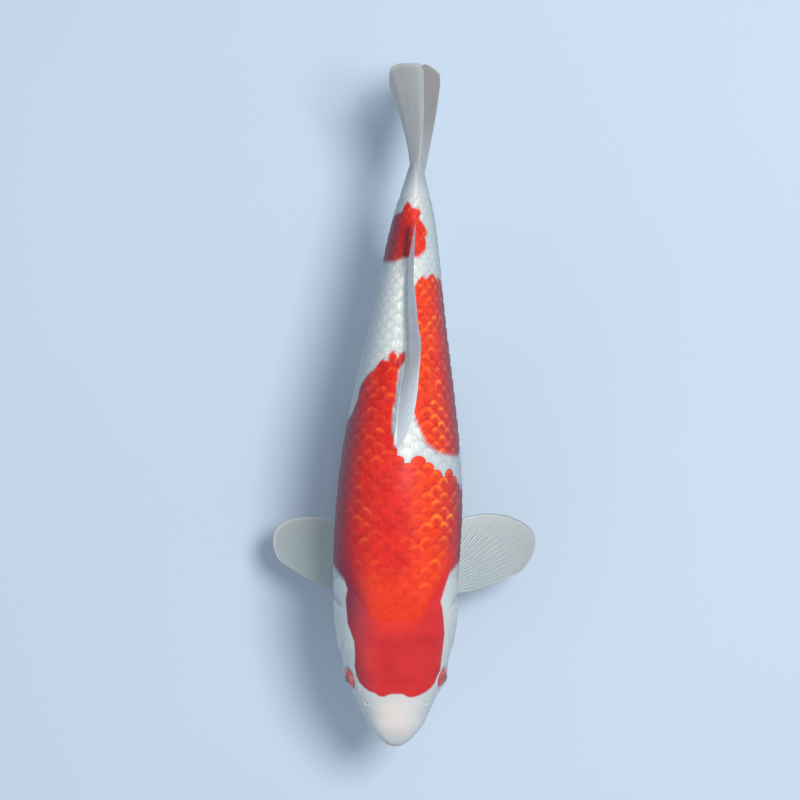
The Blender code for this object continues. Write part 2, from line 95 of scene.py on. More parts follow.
def along(table, column, d):
    """A column of the table at each d, on a smooth curve that never overshoots the rows."""
    at, value = table[:, 0], table[:, column]
    step = np.diff(value) / np.diff(at)
    turns = step[:-1] * step[1:] > 0
    middle = np.where(turns, 2 * step[:-1] * step[1:] / np.where(turns, step[:-1] + step[1:], 1.0), 0.0)
    slope = np.concatenate([step[:1], middle, step[-1:]])
    i = np.clip(np.searchsorted(at, d) - 1, 0, len(step) - 1)
    span = at[i + 1] - at[i]
    t = np.clip((d - at[i]) / span, 0.0, 1.0)
    ends = value[i] * (1 + 2 * t) * (1 - t) ** 2 + value[i + 1] * t * t * (3 - 2 * t)
    return ends + span * (slope[i] * t * (1 - t) ** 2 + slope[i + 1] * t * t * (t - 1))


def body_section(d, clock):
    """The hide at d, clock radians round from the back towards the fish's left."""
    half, back, belly, level, upper, lower = (along(BODY_FORM, c, d) for c in range(1, 7))
    mouth = BODY_FORM[0, 4]
    closing = np.sqrt(1 - (1 - np.minimum(d, SNOUT_ROUNDING) / SNOUT_ROUNDING) ** 2)
    sine, cosine = np.sin(clock), np.cos(clock)
    tall = np.where(cosine > 0, back - level, belly + level) * closing
    fullness = np.where(cosine > 0, upper, lower)
    x = half * closing * np.sign(sine) * np.abs(sine) ** (2 / fullness)
    z = tall * np.sign(cosine) * np.abs(cosine) ** (2 / fullness)
    return np.stack([x, d + 0 * x, mouth + (level - mouth) * closing + z], -1)


# The way round the hide, walked from back to belly: the clock angle at each share of it.
GIRTH_STEPS = np.linspace(0.5, BODY_LENGTH, 161)
SHARE_STEPS = np.linspace(0.0, 1.0, 129)
turn_round = np.linspace(0.0, math.pi, 361)
half_sections = body_section(GIRTH_STEPS[:, None], turn_round[None, :])
walked = np.cumsum(np.linalg.norm(np.diff(half_sections, axis=1), axis=2), axis=1)
walked = np.pad(walked, ((0, 0), (1, 0)))
CLOCKS = np.array([np.interp(SHARE_STEPS * w[-1], w, turn_round) for w in walked])
HALF_GIRTHS = walked[:, -1]


def half_girth(d):
    """The way round the hide from the back to the belly."""
    return np.interp(d, GIRTH_STEPS, HALF_GIRTHS)


def clock_at(d, share):
    """The clock angle that lies this share of the way round the hide."""
    share = (share + 1) % 2 - 1
    i = np.clip((d - GIRTH_STEPS[0]) / (GIRTH_STEPS[1] - GIRTH_STEPS[0]), 0, len(GIRTH_STEPS) - 1.001)
    j = np.clip(np.abs(share) * (len(SHARE_STEPS) - 1), 0, len(SHARE_STEPS) - 1.001)
    row, column = i.astype(int), j.astype(int)
    low = CLOCKS[row, column] * (1 - j + column) + CLOCKS[row, column + 1] * (j - column)
    high = CLOCKS[row + 1, column] * (1 - j + column) + CLOCKS[row + 1, column + 1] * (j - column)
    return np.sign(share) * (low * (1 - i + row) + high * (i - row))


def unit(ways):
    """The same directions, of length 1."""
    return ways / np.maximum(np.linalg.norm(ways, axis=-1, keepdims=True), 1e-9)


def hide(d, share, height=0.0):
    """A place on the hide, raised outwards by height."""
    d, share = np.broadcast_arrays(np.asarray(d, float), np.asarray(share, float))
    near, near_share = np.minimum(0.25, d * 0.4), 0.004  # steps that give the slope of the hide
    spot = body_section(d, clock_at(d, share))
    ahead, behind = (body_section(at, clock_at(at, share)) for at in (d - near, d + near))
    left, right = (body_section(d, clock_at(d, share + step)) for step in (near_share, -near_share))
    return spot + unit(np.cross(left - right, behind - ahead)) * np.asarray(height)[..., None]


def place(spot):
    """A place on the fish as a point of the scene in metres: turned by the lean, swung by the spine."""
    x, d, z = spot[..., 0], spot[..., 1], spot[..., 2]
    turn = np.radians(along(SPINE_SWING, 2, d))
    across = along(SPINE_SWING, 1, d) + x * np.cos(turn) + z * np.sin(turn)
    height = z * np.cos(turn) - x * np.sin(turn) + AXIS_HEIGHT
    return np.stack([across, d - TOTAL_LENGTH / 2, height], -1) * 0.001


def rise(value, start, end):
    """0 up to start, 1 from end, smooth between."""
    t = np.clip((value - start) / (end - start), 0.0, 1.0)
    return t * t * (3 - 2 * t)


def fall(value, start, end):
    """1 up to start, 0 from end."""
    return 1 - rise(value, start, end)


def between(value, start, full, fade, end):
    """1 from full to fade, 0 up to start and from end."""
    return rise(value, start, full) * fall(value, fade, end)


def ridge(distance, width):
    """1 at no distance, about a third at one width and nearly nothing at two."""
    return np.exp(-((distance / width) ** 2))


# The scales begin along this line: degrees round from the back, behind the snout.
SCALE_START = np.array(
    [
        (0, 93), (10, 93.5), (19, 97), (32, 108), (45, 123),
        (62, 128), (90, 124), (120, 122), (150, 131), (180, 138),
    ]
)
SCALE_END = 452.0


def from_back(d, share):
    """Degrees round from the ridge of the back, on either side."""
    return np.degrees(np.abs(clock_at(d, share)))


def scaled(d, share):
    """How far behind the first scales a place is."""
    return d - np.interp(from_back(d, share), SCALE_START[:, 0], SCALE_START[:, 1])


def covered_by_scales(d, share):
    """0 where the skin is bare, 1 where it lies the full depth under the scales."""
    return rise(scaled(d, share), 0.0, 26.0) * fall(d, SCALE_END - 16, SCALE_END - 2)


def behind_nape(d, share):
    """0 on the crimson of the head, 1 on the brighter red of the scales."""
    aside = rise(from_back(d, share), 12.0, 36.0)
    return rise(scaled(d, share) - 14.0 * aside, -9.0, 17.0)


def towards_tail(d):
    """How far the white of the body has turned to the grey of the tail fin."""
    return 0.25 * rise(d, 395.0, 415.0) + 0.75 * rise(d, 438.0, 466.0)


DORSAL_BASE = (240.0, 390.0)  # front and rear end of the root of the dorsal fin


def dorsal_root_x(s):
    """How far to the left of the spine the root of the dorsal fin lies, s from its front to its rear end."""
    return -4.6 * (1 - s) ** 2.2 + 3.4 * ridge(s - 0.52, 0.2) - 1.8 * s**4


def beside_dorsal_root(spot):
    """The narrow groove along the right of the root of the dorsal fin."""
    x, d, z = np.moveaxis(spot, -1, 0)
    root = np.clip((d - DORSAL_BASE[0]) / (DORSAL_BASE[1] - DORSAL_BASE[0]), 0.0, 1.0)
    from_groove = x - dorsal_root_x(root) + 0.5
    return ridge(from_groove, 1.5) * between(d, 244.0, 262.0, 385.0, 395.0) * (z > 0)


def mouth_relief(d, z):
    """Full lips with a fold beyond each, round corners, and the crease along the lower jaw."""
    over = z + 14.0 + 7.0 * (np.clip(d, 0, 22) / 18.0) ** 1.3  # over the gap between the lips
    lips = 1.6 * ridge(over - 2.3, 1.8) + 1.6 * ridge(over + 2.4, 1.9) - 2.6 * ridge(over, 0.7)
    folds = 0.9 * ridge(over - 6.2, 1.1) + 0.6 * ridge(over + 6.5, 1.3)
    from_corner = np.hypot(d - 20.0, z + 20.5)
    corner = 0.9 * ridge(from_corner - 3.2, 1.4) - 0.8 * ridge(from_corner, 1.6)
    jaw = np.clip(((d - 19.0) * 19.0 - (z + 23.0) * 25.0) / (19.0**2 + 25.0**2), 0.0, 1.0)
    crease = ridge(np.hypot(d - 19.0 - 19.0 * jaw, z + 23.0 + 25.0 * jaw), 1.5)
    return fall(d, 16.0, 21.0) * lips - fall(d, 20.0, 26.0) * folds + corner - 0.8 * crease


def nostril_relief(d, clock):
    """A low mound on each side of the snout, with two openings and a flap of skin between them."""
    degree = 0.42  # the length of one degree of the clock there
    mound, front, rear = (
        np.hypot(d - at, (clock - degrees) * degree)
        for at, degrees in ((34.4, 47.5), (32.0, 47.0), (36.4, 48.0))
    )
    flap = ridge(d - 34.2, 0.8) * ridge((clock - 47.5) * degree, 2.2)
    return 0.5 * ridge(mound, 4.0) + 0.7 * flap - 1.1 * ridge(front, 1.1) - 1.5 * ridge(rear, 1.4)


EYE_PLACE = np.array((30.6, 58.4, 3.4))
EYE_RADIUS = 11.3
EYE_AXIS = np.array((0.894, -0.251, 0.371))
EYE_SHOWN = 8.8  # radius of the opening of the lids over this axis


def eye_relief(side):
    """Socket, lids and the arc of pores below them, at a place given from the middle of the eye."""
    outward = side @ EYE_AXIS
    from_axis = np.linalg.norm(side - outward[..., None] * EYE_AXIS, axis=-1)
    from_lid = np.where(outward > 0, from_axis - EYE_SHOWN, 99.0)
    lid_level = math.sqrt(EYE_RADIUS**2 - EYE_SHOWN**2) + 0.35
    height = fall(from_lid, 0.3, 6.5) * (lid_level - outward) - 2.4 * fall(from_lid, -1.0, 0.1)
    height += 0.55 * ridge(from_lid - 1.0, 0.7) - 0.30 * ridge(from_lid - 2.6, 0.8)
    height += 0.40 * ridge(from_lid - 4.4, 1.3)
    d, z = side[..., 1], side[..., 2]
    arc = ridge(np.hypot(d + 1.0, z + 1.5) - 17.5, 0.8) * (z < -2)
    return height - 0.3 * arc * rise(np.cos(np.arctan2(z, d) * 15.0), 0.6, 1.0)


# Round edges on the side of the head: d, z and radius.
GILL_SLIT = (58.0, -3.0, 63.0)  # the rear edge of the gill cover
CHEEK_ARC = (112.0, -9.0, 37.0)  # its front edge
BONE_HUB = (82.0, 15.0)  # d and z where the fine spokes of its bone meet


def beyond(arc, d, z):
    """How far outside a round edge a place is."""
    return np.hypot(d - arc[0], z - arc[1]) - arc[2]


def gill_relief(x, d, z):
    """The raised rim of the gill cover and the slit behind it, folds below, groove of the cheek, bone."""
    slit, cheek = beyond(GILL_SLIT, d, z), beyond(CHEEK_ARC, d, z)
    rim = 0.7 * between(slit, -7.0, -1.2, -0.6, 0.9) - 2.3 * between(slit, -0.6, 0.9, 2.5, 8.0)
    folds = 0.45 * sum(ridge(slit + at, 1.1) for at in (4.0, 8.5, 13.0)) * fall(z, -44.0, -34.0)
    height = fall(z, 19.0, 28.0) * rise(x, 4.0, 9.0) * (rim - 0.35 * ridge(slit + 8.0, 1.0) + folds)
    groove = 0.5 * ridge(cheek - 2.8, 1.6) - 0.8 * ridge(cheek, 1.0) + 0.5 * ridge(cheek + 9.0, 4.0)
    height += between(z, -46.0, -40.0, 17.0, 25.0) * fall(d, 96.0, 104.0) * groove
    from_hub = np.hypot(d - BONE_HUB[0], z - BONE_HUB[1])
    spokes = np.sin(np.arctan2(z - BONE_HUB[1], d - BONE_HUB[0]) * 46.0) * rise(from_hub, 5.0, 14.0)
    on_bone = fall(cheek, -5.0, -1.0) * fall(slit, -7.0, -4.0) * fall(z, 12.0, 19.0)
    return height + on_bone * (0.10 * spokes + 0.8 * ridge(from_hub - 24.0, 18.0))


def pore_relief(x, d, z):
    """Two lines of pores on each side of the top of the head, spreading apart towards the rear."""
    height = 0.0 * d
    for across, start, end in ((17.0, 40.0, 84.0), (9.0, 24.0, 60.0)):
        on_line = (z > 0) * (np.abs(x - across - (d - start) * 0.16) < 3.0)
        for at in np.arange(start, end, 6.5):
            height -= 0.32 * on_line * ridge(np.hypot(d - at, x - across - (at - start) * 0.16), 0.8)
    return height


def from_fin_socket(x, d, z):
    """How far a place is from where the pectoral fin comes out of the hide."""
    return np.linalg.norm(np.stack([np.abs(x) - 37.0, d - 127.0, z + 41.0], -1), axis=-1)


def trunk_relief(x, d, z):
    """Flesh round the pectoral and before the dorsal fin, the vent, and a groove under the throat."""
    before_fin = x + 2.4 * fall(d, 250.0, 305.0)
    above = 1.5 * ridge(before_fin, 2.4) * between(d, 236.0, 252.0, 292.0, 312.0)
    vent = np.hypot(d - 352.0, x)
    below = 1.3 * ridge(vent - 2.4, 1.6) - 1.8 * ridge(vent, 1.2)
    below -= 0.35 * ridge(x, 1.6) * between(d, 40.0, 60.0, 110.0, 125.0)
    return 2.2 * ridge(from_fin_socket(x, d, z), 9.0) + above * (z > 0) + below * (z < 0)


def skin_relief(d, share):
    """Height of the skin over the plain form of the body."""
    spot = hide(d, share)
    x, z = np.abs(spot[..., 0]), spot[..., 2]
    height = mouth_relief(d, z) + nostril_relief(d, from_back(d, share)) + gill_relief(x, d, z)
    height += eye_relief(np.stack([x, d, z], -1) - EYE_PLACE) + pore_relief(x, d, z)
    height += trunk_relief(spot[..., 0], d, z) - 0.6 * beside_dorsal_root(spot)
    height += 0.12 * np.sin(d * 0.31 + x * 0.17) * np.sin(x * 0.23 - d * 0.11) * fall(d, 90.0, 115.0)
    return height - COAT_DEPTH * covered_by_scales(d, share)


# The red patches, each as its outline on the hide: behind the snout, degrees round from the back.
RED_PATCHES = {
    "head_and_shoulders": [
        (150, -86), (144, -67), (138, -54), (130, -48), (123, -51), (103, -51), (96, -47), (88, -44),
        (79, -44.5), (73, -47), (67, -50), (60, -50.5), (54, -48), (49.5, -41), (46.5, -33), (45.5, -26),
        (42.5, -19), (42.5, -14), (44.8, -5), (44.8, 5), (42.2, 12), (41.8, 18), (43, 26), (45.5, 37),
        (49.3, 47), (54.7, 51), (63.6, 56), (73, 53.5), (82.7, 51.7), (92.5, 51), (104, 48), (115, 45),
        (120, 42.5), (127, 46), (134, 50.5), (142.7, 56.5), (148, 70), (151, 84), (158, 97), (176, 105),
        (195, 103), (208, 93), (213, 80), (216, 66), (221, 56), (224, 48), (230, 40), (229, 30), (231, 22),
        (236, 16), (236, 8), (242, 2), (244, -3), (250, -4), (261, -7.5), (266, -7.5), (281, -4.5),
        (297, -3), (305, -3), (313, 5), (320, 5), (318, -3), (310.5, -9), (313.5, -6.5), (317, -6.5),
        (319.5, -10), (319.5, -14), (317, -17.5), (313.5, -17.5), (311, -16), (314, -24), (311, -30),
        (306, -35), (300, -48), (291, -57), (281, -57), (271, -64), (264, -76), (256, -92), (240, -104),
        (215, -107), (190, -103), (172, -106), (158, -98),
    ],
    "right_of_the_fin": [
        (371, 13), (377, 19), (380, 27), (378, 36), (382, 44), (382, 53), (378, 61), (380, 70), (377, 80),
        (371, 88), (352, 99), (330, 103), (305, 108), (282, 104), (262, 107), (246, 98), (239, 86),
        (236, 74), (236.5, 60), (238, 48), (241, 38), (247, 28), (256, 23), (263, 19), (270, 15.5),
        (286, 14), (304, 13), (322, 12), (345, 12), (362, 14),
    ],
    "before_the_tail": [
        (392, -66), (391.5, -33), (394, -16), (394.5, 0), (395, 17), (401, 33), (407, 35), (412, 32),
        (415, 41), (421, 31), (427, 15), (431, 22), (434.5, 15), (435.5, -7), (439, -14), (440, -26),
        (436, -34), (432, -36), (431, -60), (427, -80), (418, -94), (404, -97), (395, -86),
    ],
}


def spread_out(d, clock_degrees):
    """Places on the hide as flat millimetres: behind the snout, round from the back."""
    return np.stack([d, np.radians(clock_degrees) * half_girth(d) / math.pi], -1)


def depth_in_red(d, share):
    """How deep inside the nearest red patch a place is, in millimetres, and less than 0 outside."""
    flat = spread_out(d, np.degrees(clock_at(d, share))).reshape(-1, 2)
    deepest = np.full(len(flat), -1e9)
    for outline in RED_PATCHES.values():
        corners = np.array(outline, float)
        corners = spread_out(corners[:, 0], corners[:, 1])
        near, inside = np.full(len(flat), 1e9), np.zeros(len(flat), bool)
        for a, b in zip(corners, np.roll(corners, -1, axis=0)):
            t = np.clip((flat - a) @ (b - a) / ((b - a) @ (b - a)), 0.0, 1.0)
            near = np.minimum(near, np.linalg.norm(flat - a - t[:, None] * (b - a), axis=1))
            crosses = (a[0] > flat[:, 0]) != (b[0] > flat[:, 0])
            run = (b[1] - a[1]) * (flat[:, 0] - a[0]) / np.where(b[0] == a[0], 1e-9, b[0] - a[0]) + a[1]
            inside ^= crosses & (flat[:, 1] < run)
        deepest = np.maximum(deepest, np.where(inside, near, -near))
    return deepest.reshape(np.shape(d + share))


def new_finish(name, **inputs):
    """A material whose sockets hold the values that are the same all over."""
    finish = bpy.data.materials.new(name)
    finish.use_nodes = True
    shader = finish.node_tree.nodes["Principled BSDF"]
    for socket, value in inputs.items():
        shader.inputs[socket.replace("_", " ")].default_value = value
    return finish


def add_node(finish, kind, inputs=(), **settings):
    """A node. An input is a number, a colour, another node's output or the name of a mark of the mesh."""
    made = finish.node_tree.nodes.new(f"ShaderNode{kind}")
    for key, value in settings.items():
        setattr(made, key, value)
    for socket, value in dict(inputs).items():
        if isinstance(value, str):
            value = add_node(finish, "Attribute", attribute_name=value).outputs["Fac"]
        if isinstance(value, bpy.types.NodeSocket):
            finish.node_tree.links.new(value, made.inputs[socket])
        else:
            made.inputs[socket].default_value = value
    return made


def reckon(finish, operation, first, second):
    """Sum, product or another plain operation on two numbers, kept from 0 to 1."""
    numbers = {0: first, 1: second}
    return add_node(finish, "Math", numbers, operation=operation, use_clamp=True).outputs[0]


def painted(finish, ground, *coats):
    """The ground colour under its coats, each given as a share from 0 to 1, its strength and its colour."""
    for share, strength, coat in coats:
        if strength != 1:
            share = reckon(finish, "MULTIPLY", share, strength)
        ground, coat = ((*c, 1.0) if isinstance(c, tuple) else c for c in (ground, coat))
        ground = add_node(finish, "Mix", {0: share, 6: ground, 7: coat}, data_type="RGBA").outputs[2]
    return ground


def ranged(finish, value, start, end, first=0.0, last=1.0):
    """First where the value is start, last where it is end, and in proportion between."""
    ends = {"Value": value, "From Min": start, "From Max": end, "To Min": first, "To Max": last}
    return add_node(finish, "MapRange", ends).outputs["Result"]


def noise(finish, scale, detail, stretched=(1.0, 1.0, 1.0), distortion=0.0):
    """Cloudy numbers that lie still on the piece, drawn out along the directions with a smaller scale."""
    where = add_node(finish, "TexCoord").outputs["Object"]
    if stretched != (1.0, 1.0, 1.0):
        where = add_node(finish, "Mapping", {"Vector": where, "Scale": stretched}).outputs["Vector"]
    inputs = {"Vector": where, "Scale": scale, "Detail": detail, "Distortion": distortion}
    return add_node(finish, "TexNoise", inputs).outputs["Fac"]


def mottle(finish, scale, low, high, detail=3.0):
    """A cloudy share from 0 to 1, spread over the noise's values from low to high."""
    return ranged(finish, noise(finish, scale, detail), low, high)


def bump(finish, height, distance):
    """Fine relief, distance in millimetres deep."""
    return add_node(finish, "Bump", {"Height": height, "Distance": distance * 0.001}).outputs["Normal"]


def connect(finish, **sources):
    """Links outputs to the sockets of the finish's shader."""
    shader = finish.node_tree.nodes["Principled BSDF"]
    for socket, source in sources.items():
        finish.node_tree.links.new(source, shader.inputs[socket.replace("_", " ")])


def new_piece(name, spots, faces, finish, marks=(), flat=None, on_rim=None):
    """A mesh object riding on the model, with its marks, its map for baking and its sharp rims."""
    mesh = bpy.data.meshes.new(name)
    mesh.from_pydata(np.asarray(spots).reshape(-1, 3).tolist(), [], faces)
    for mark_name, values in dict(marks).items():
        layer = mesh.attributes.new(mark_name, "FLOAT", "POINT")
        layer.data.foreach_set("value", np.ravel(values).astype(np.float32))
    if flat is not None:
        corners = np.empty(len(mesh.loops), dtype=np.int32)
        mesh.loops.foreach_get("vertex_index", corners)
        flat = np.asarray(flat, np.float32).reshape(-1, 2)[corners]
        mesh.uv_layers.new(name="OFBake").data.foreach_set("uv", flat.ravel())
    mesh.shade_smooth()
    if on_rim is not None:
        ends = np.empty(len(mesh.edges) * 2, dtype=np.int32)
        mesh.edges.foreach_get("vertices", ends)
        sharp = on_rim[ends].reshape(-1, 2).all(axis=1)
        mesh.attributes.new("sharp_edge", "BOOLEAN", "EDGE").data.foreach_set("value", sharp)
    mesh.materials.append(finish)
    piece = bpy.data.objects.new(name, mesh)
    bpy.context.collection.objects.link(piece)
    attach(piece, "root")
    return piece


def grid_faces(rows, columns, start=0, closed=False):
    """Faces of a grid of vertices numbered row by row, the last column joined to the first if closed."""
    row, column = np.meshgrid(np.arange(rows - 1), np.arange(columns - (not closed)), indexing="ij")
    beside = (column + 1) % columns
    here, below = row * columns, (row + 1) * columns
    corners = (here + column, here + beside, below + beside, below + column)
    return (np.stack(corners, -1).reshape(-1, 4) + start).tolist()


skin_rows = np.concatenate(
    [  # behind the snout, closest together on the head, where the folds are
        SNOUT_ROUNDING * (1 - np.cos(np.linspace(0.035, math.pi / 2, 40))),
        np.arange(20.8, 136.0, 0.8),
        np.arange(137.5, 452.0, 2.8),
        np.arange(453.0, 480.1, 1.0),
    ]
)
SKIN_SIDES = 300
skin_shares = np.linspace(-1.0, 1.0, SKIN_SIDES, endpoint=False)
skin_d, skin_share = np.meshgrid(skin_rows, skin_shares, indexing="ij")
skin_height = skin_relief(skin_d, skin_share)
fin_rays_begin = rise(skin_d, 456.0, 474.0) * 0.35 * np.cos(skin_share * 60.0 * math.pi)
skin_spots = hide(skin_d, skin_share, skin_height + fin_rays_begin)
nose_tip, stem_end = (0.0, 0.0, BODY_FORM[0, 4]), (0.0, BODY_LENGTH + 0.4, 0.5)
skin_spots = np.concatenate([skin_spots.reshape(-1, 3), [nose_tip, stem_end]])
last_row, nose_vertex = SKIN_SIDES * (len(skin_rows) - 1), SKIN_SIDES * len(skin_rows)
skin_faces = [face[::-1] for face in grid_faces(len(skin_rows), SKIN_SIDES, closed=True)]
for i in range(SKIN_SIDES):
    beside = (i + 1) % SKIN_SIDES
    skin_faces += [[nose_vertex, i, beside], [nose_vertex + 1, last_row + beside, last_row + i]]

skin_clock = from_back(skin_d, skin_share)
skin_place = hide(skin_d, skin_share)
skin_x, skin_z = skin_place[..., 0], skin_place[..., 2]
on_right = skin_share < 0
# painted shade on the flanks begins this many degrees nearer to the back on the fish's right side, away from
# the key light
right_shade_offset = (22.0 + 16.0 * ridge(skin_d - 132.0, 24.0)) * on_right  # degrees nearer to the back
nose_top = fall(np.abs(skin_x), 4.0, 25.0) * rise(skin_z, -16.0, -6.0)
skin_marks = {
    "red": rise(depth_in_red(skin_d, skin_share), -0.6, 0.6),
    # painted shade in the groove along the root of the dorsal fin
    "dorsal_fin_shade": beside_dorsal_root(skin_place),
    "scaled": behind_nape(skin_d, skin_share),
    "tail": towards_tail(skin_d),
    # painted shade: the red turns dark low on the flanks
    "flank_shade": rise(skin_clock + right_shade_offset, 38.0, 84.0),
    # painted shade: the white turns grey low on the flanks, earlier on the right side
    "grey": rise(skin_clock + 18.0 * on_right, 45.0, 84.0) * (0.5 + 0.5 * rise(skin_d, 150.0, 300.0)),
    "snout": between(skin_d, 1.0, 16.0, 30.0, 56.0) * nose_top,
    "lips": fall(skin_d, 13.0, 20.0) * ridge(skin_z + 12.0 + 0.35 * skin_d, 5.5),
    "under": rise(skin_clock, 95.0, 150.0),
    # painted shade in the deepest hollows of the skin of the head
    "socket": ridge(np.maximum(-skin_height - 0.6, 0.0) - 1.2, 0.9) * (skin_d < 135),
}
skin_marks = {name: np.append(values, values.ravel()[[0, -1]]) for name, values in skin_marks.items()}
map_rows = np.repeat(np.linspace(0.01, 0.99, len(skin_rows)), SKIN_SIDES)
map_sides = np.tile((skin_shares + 1) * 0.46 + 0.01, len(skin_rows))
skin_map = np.concatenate([np.stack([map_rows, map_sides], -1), [(0.0, 0.5), (1.0, 0.5)]])

# painted shade: the dark purple red low on the flanks
FLANK_SHADE_RED = (0.12, 0.018, 0.048)  # low on the flanks
STEM_GREY = (0.36, 0.39, 0.40)  # at the root of the tail fin
skin_finish = new_finish(
    "wet_skin",
    Specular_IOR_Level=0.35,
    Coat_Weight=0.12,
    Coat_Roughness=0.18,
    Subsurface_Weight=0.08,
    Subsurface_Radius=(0.003, 0.001, 0.0008),
)
cloud = mottle(skin_finish, 55.0, 0.3, 0.7)
crimson = painted(skin_finish, (0.52, 0.012, 0.016), (cloud, 1, (0.66, 0.022, 0.022)))
ember = painted(skin_finish, (0.68, 0.022, 0.009), (cloud, 1, (0.78, 0.032, 0.012)))
# the red darkens to painted shade low on the flanks
red = painted(skin_finish, crimson, ("scaled", 1, ember), ("flank_shade", 0.82, FLANK_SHADE_RED))
white = painted(
    skin_finish,
    (0.50, 0.56, 0.56),
    (mottle(skin_finish, 38.0, 0.35, 0.7), 1, (0.60, 0.64, 0.63)),
    ("snout", 0.7, (0.80, 0.70, 0.64)),
    # painted shade: grey low on the flanks
    ("grey", 1, (0.35, 0.41, 0.44)),
    ("under", 0.7, (0.70, 0.66, 0.62)),
    ("lips", 0.5, (0.66, 0.47, 0.42)),
    ("tail", 1, STEM_GREY),
    # painted shade in the groove by the dorsal fin
    ("dorsal_fin_shade", 0.9, (0.13, 0.16, 0.20)),
)
pores = reckon(skin_finish, "MULTIPLY", mottle(skin_finish, 900.0, 0.35, 0.65, detail=2.0), 0.25)
connect(
    skin_finish,
    # with painted shade in the deep hollows of the head
    Base_Color=painted(skin_finish, white, ("red", 1, red), ("socket", 0.4, (0.20, 0.05, 0.05))),
    Roughness=ranged(skin_finish, "tail", 0.0, 1.0, 0.38, 0.62),
    Normal=bump(skin_finish, reckon(skin_finish, "ADD", pores, cloud), 0.12),
)
skin = new_piece("koi_skin", place(skin_spots), skin_faces, skin_finish, skin_marks, skin_map)
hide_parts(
    "head", "lower_jaw", "gill_cover_left", "gill_cover_right", "trunk_front", "trunk_rear", "tail_stem"
)


# ---- Scales -------------------------------------------------------------------------------------------
# Thin round plates of bone in slanting rows, each rooted in the skin under the tail ends of the plates
# before it. 42 rows run round the body and some 30 along it. A plate is either red or white where a
# patch ends towards the tail, and the red fades under the white plates where a patch begins.
SCALE_ROWS = 42  # round the whole girth
FIRST_SCALE = 80.0
SCALE_STEP = (12.9, 0.061)  # between the first plates of a row, and how much less at each next one
SCALE_TILT = 0.034  # rise of a plate per millimetre towards its tail end
SCALE_THICKNESS = 0.25
PLATE_ACROSS, PLATE_ALONG = 13, 8  # vertices of a plate
PLATE_WIDTH = 2.05  # of a plate, in rows
PLATE_ROOT = 0.72  # how far a plate goes on under those before it, in pitches
BARE_DEPTH = 0.62  # how much deeper the first plates lie, where the skin is still bare
SIDE_LINES = (11, 31)  # the rows of plates with a canal down the middle

dice = np.random.default_rng(7)
number, row = np.meshgrid(np.arange(0.0, 40.0), np.arange(SCALE_ROWS), indexing="ij")
number = number + 0.5 * (row % 2)
root_d = FIRST_SCALE + SCALE_STEP[0] * number - SCALE_STEP[1] * number**2
pitch = SCALE_STEP[0] - 2 * SCALE_STEP[1] * number
root_share = (row * 2.0 / SCALE_ROWS + 1) % 2 - 1
rim_d = root_d + pitch
last_rim = SCALE_END - 2.0 + 10.0 * np.sin(math.pi * root_share) ** 2
kept = (scaled(rim_d, root_share) > 1.0) & (rim_d < last_rim)
kept &= (row != 0) | (rim_d <= DORSAL_BASE[0]) | (root_d >= DORSAL_BASE[1] + 2.0)  # none under the fin
root_x, _, root_z = np.moveaxis(hide(root_d, root_share), -1, 0)
kept &= from_fin_socket(root_x, root_d + 5.0, root_z) > 9.0  # none where the pectoral fin comes out
rim_z = hide(rim_d, root_share)[..., 2]
kept &= (beyond(GILL_SLIT, rim_d, rim_z) >= 13.0) | (rim_z >= 26.0)  # the bare skin behind the gill cover
root_d, root_share, pitch, row = (values[kept] for values in (root_d, root_share, pitch, row))
root_d = root_d + dice.uniform(-0.25, 0.25, len(root_d))

# One plate: across it from -1 to 1, along it in pitches from its root.
bend = np.linspace(-math.pi / 2, math.pi / 2, PLATE_ACROSS)[:, None]
plate_across = np.repeat(np.sin(bend), PLATE_ALONG, 1)
to_tail = np.linspace(0.0, 1.0, PLATE_ALONG)[None, :] ** 0.7
plate_along = -PLATE_ROOT + (np.cos(bend) ** 0.9 + PLATE_ROOT) * to_tail
to_rim = 1 - np.hypot(plate_across, np.maximum(plate_along, 0.0))
beside = np.sqrt(1 - (1 - np.abs(plate_across)) ** 2) - 0.5  # where the plates before it stop covering it
bare = plate_along - np.maximum(beside, np.sqrt(1 - plate_across**2) - 1.0)

lift = dice.uniform(-0.03, 0.03, len(root_d))
middle_d = root_d + pitch * 0.45
root_depth = depth_in_red(middle_d, root_share)
settled = 0.30 + 0.70 * rise(scaled(root_d, root_share), 5.0, 80.0)  # how far plates stand out of the skin
settled = settled * (0.45 + 0.45 * rise(root_depth, -2.0, 2.0))


def plate_places(drop):
    """All plates at once, sunk by the drop: their d, share and height."""
    step, stand = pitch[:, None, None], settled[:, None, None]
    d = root_d[:, None, None] + plate_along * step
    share = root_share[:, None, None] + plate_across * PLATE_WIDTH / SCALE_ROWS
    crown = 0.15 * (1 - plate_across**2) * (step / 12.0) - 0.08 * rise(0.16 - to_rim, 0.0, 0.16)
    height = stand * (crown - SCALE_TILT * (1 - plate_along) * step + lift[:, None, None])
    canal = 0.35 * ridge(plate_across, 0.09) * rise(plate_along, 0.1, 0.4)
    height = height + np.isin(row, SIDE_LINES)[:, None, None] * canal
    return d, share, 0.02 + height - BARE_DEPTH * (1 - covered_by_scales(d, share)) - drop


def grid_rim(rows, columns):
    """The vertices round the edge of a grid, in order."""
    return (
        [i * columns for i in range(rows)]
        + [(rows - 1) * columns + j for j in range(1, columns)]
        + [i * columns + columns - 1 for i in range(rows - 2, -1, -1)]
        + list(range(columns - 2, 0, -1))
    )


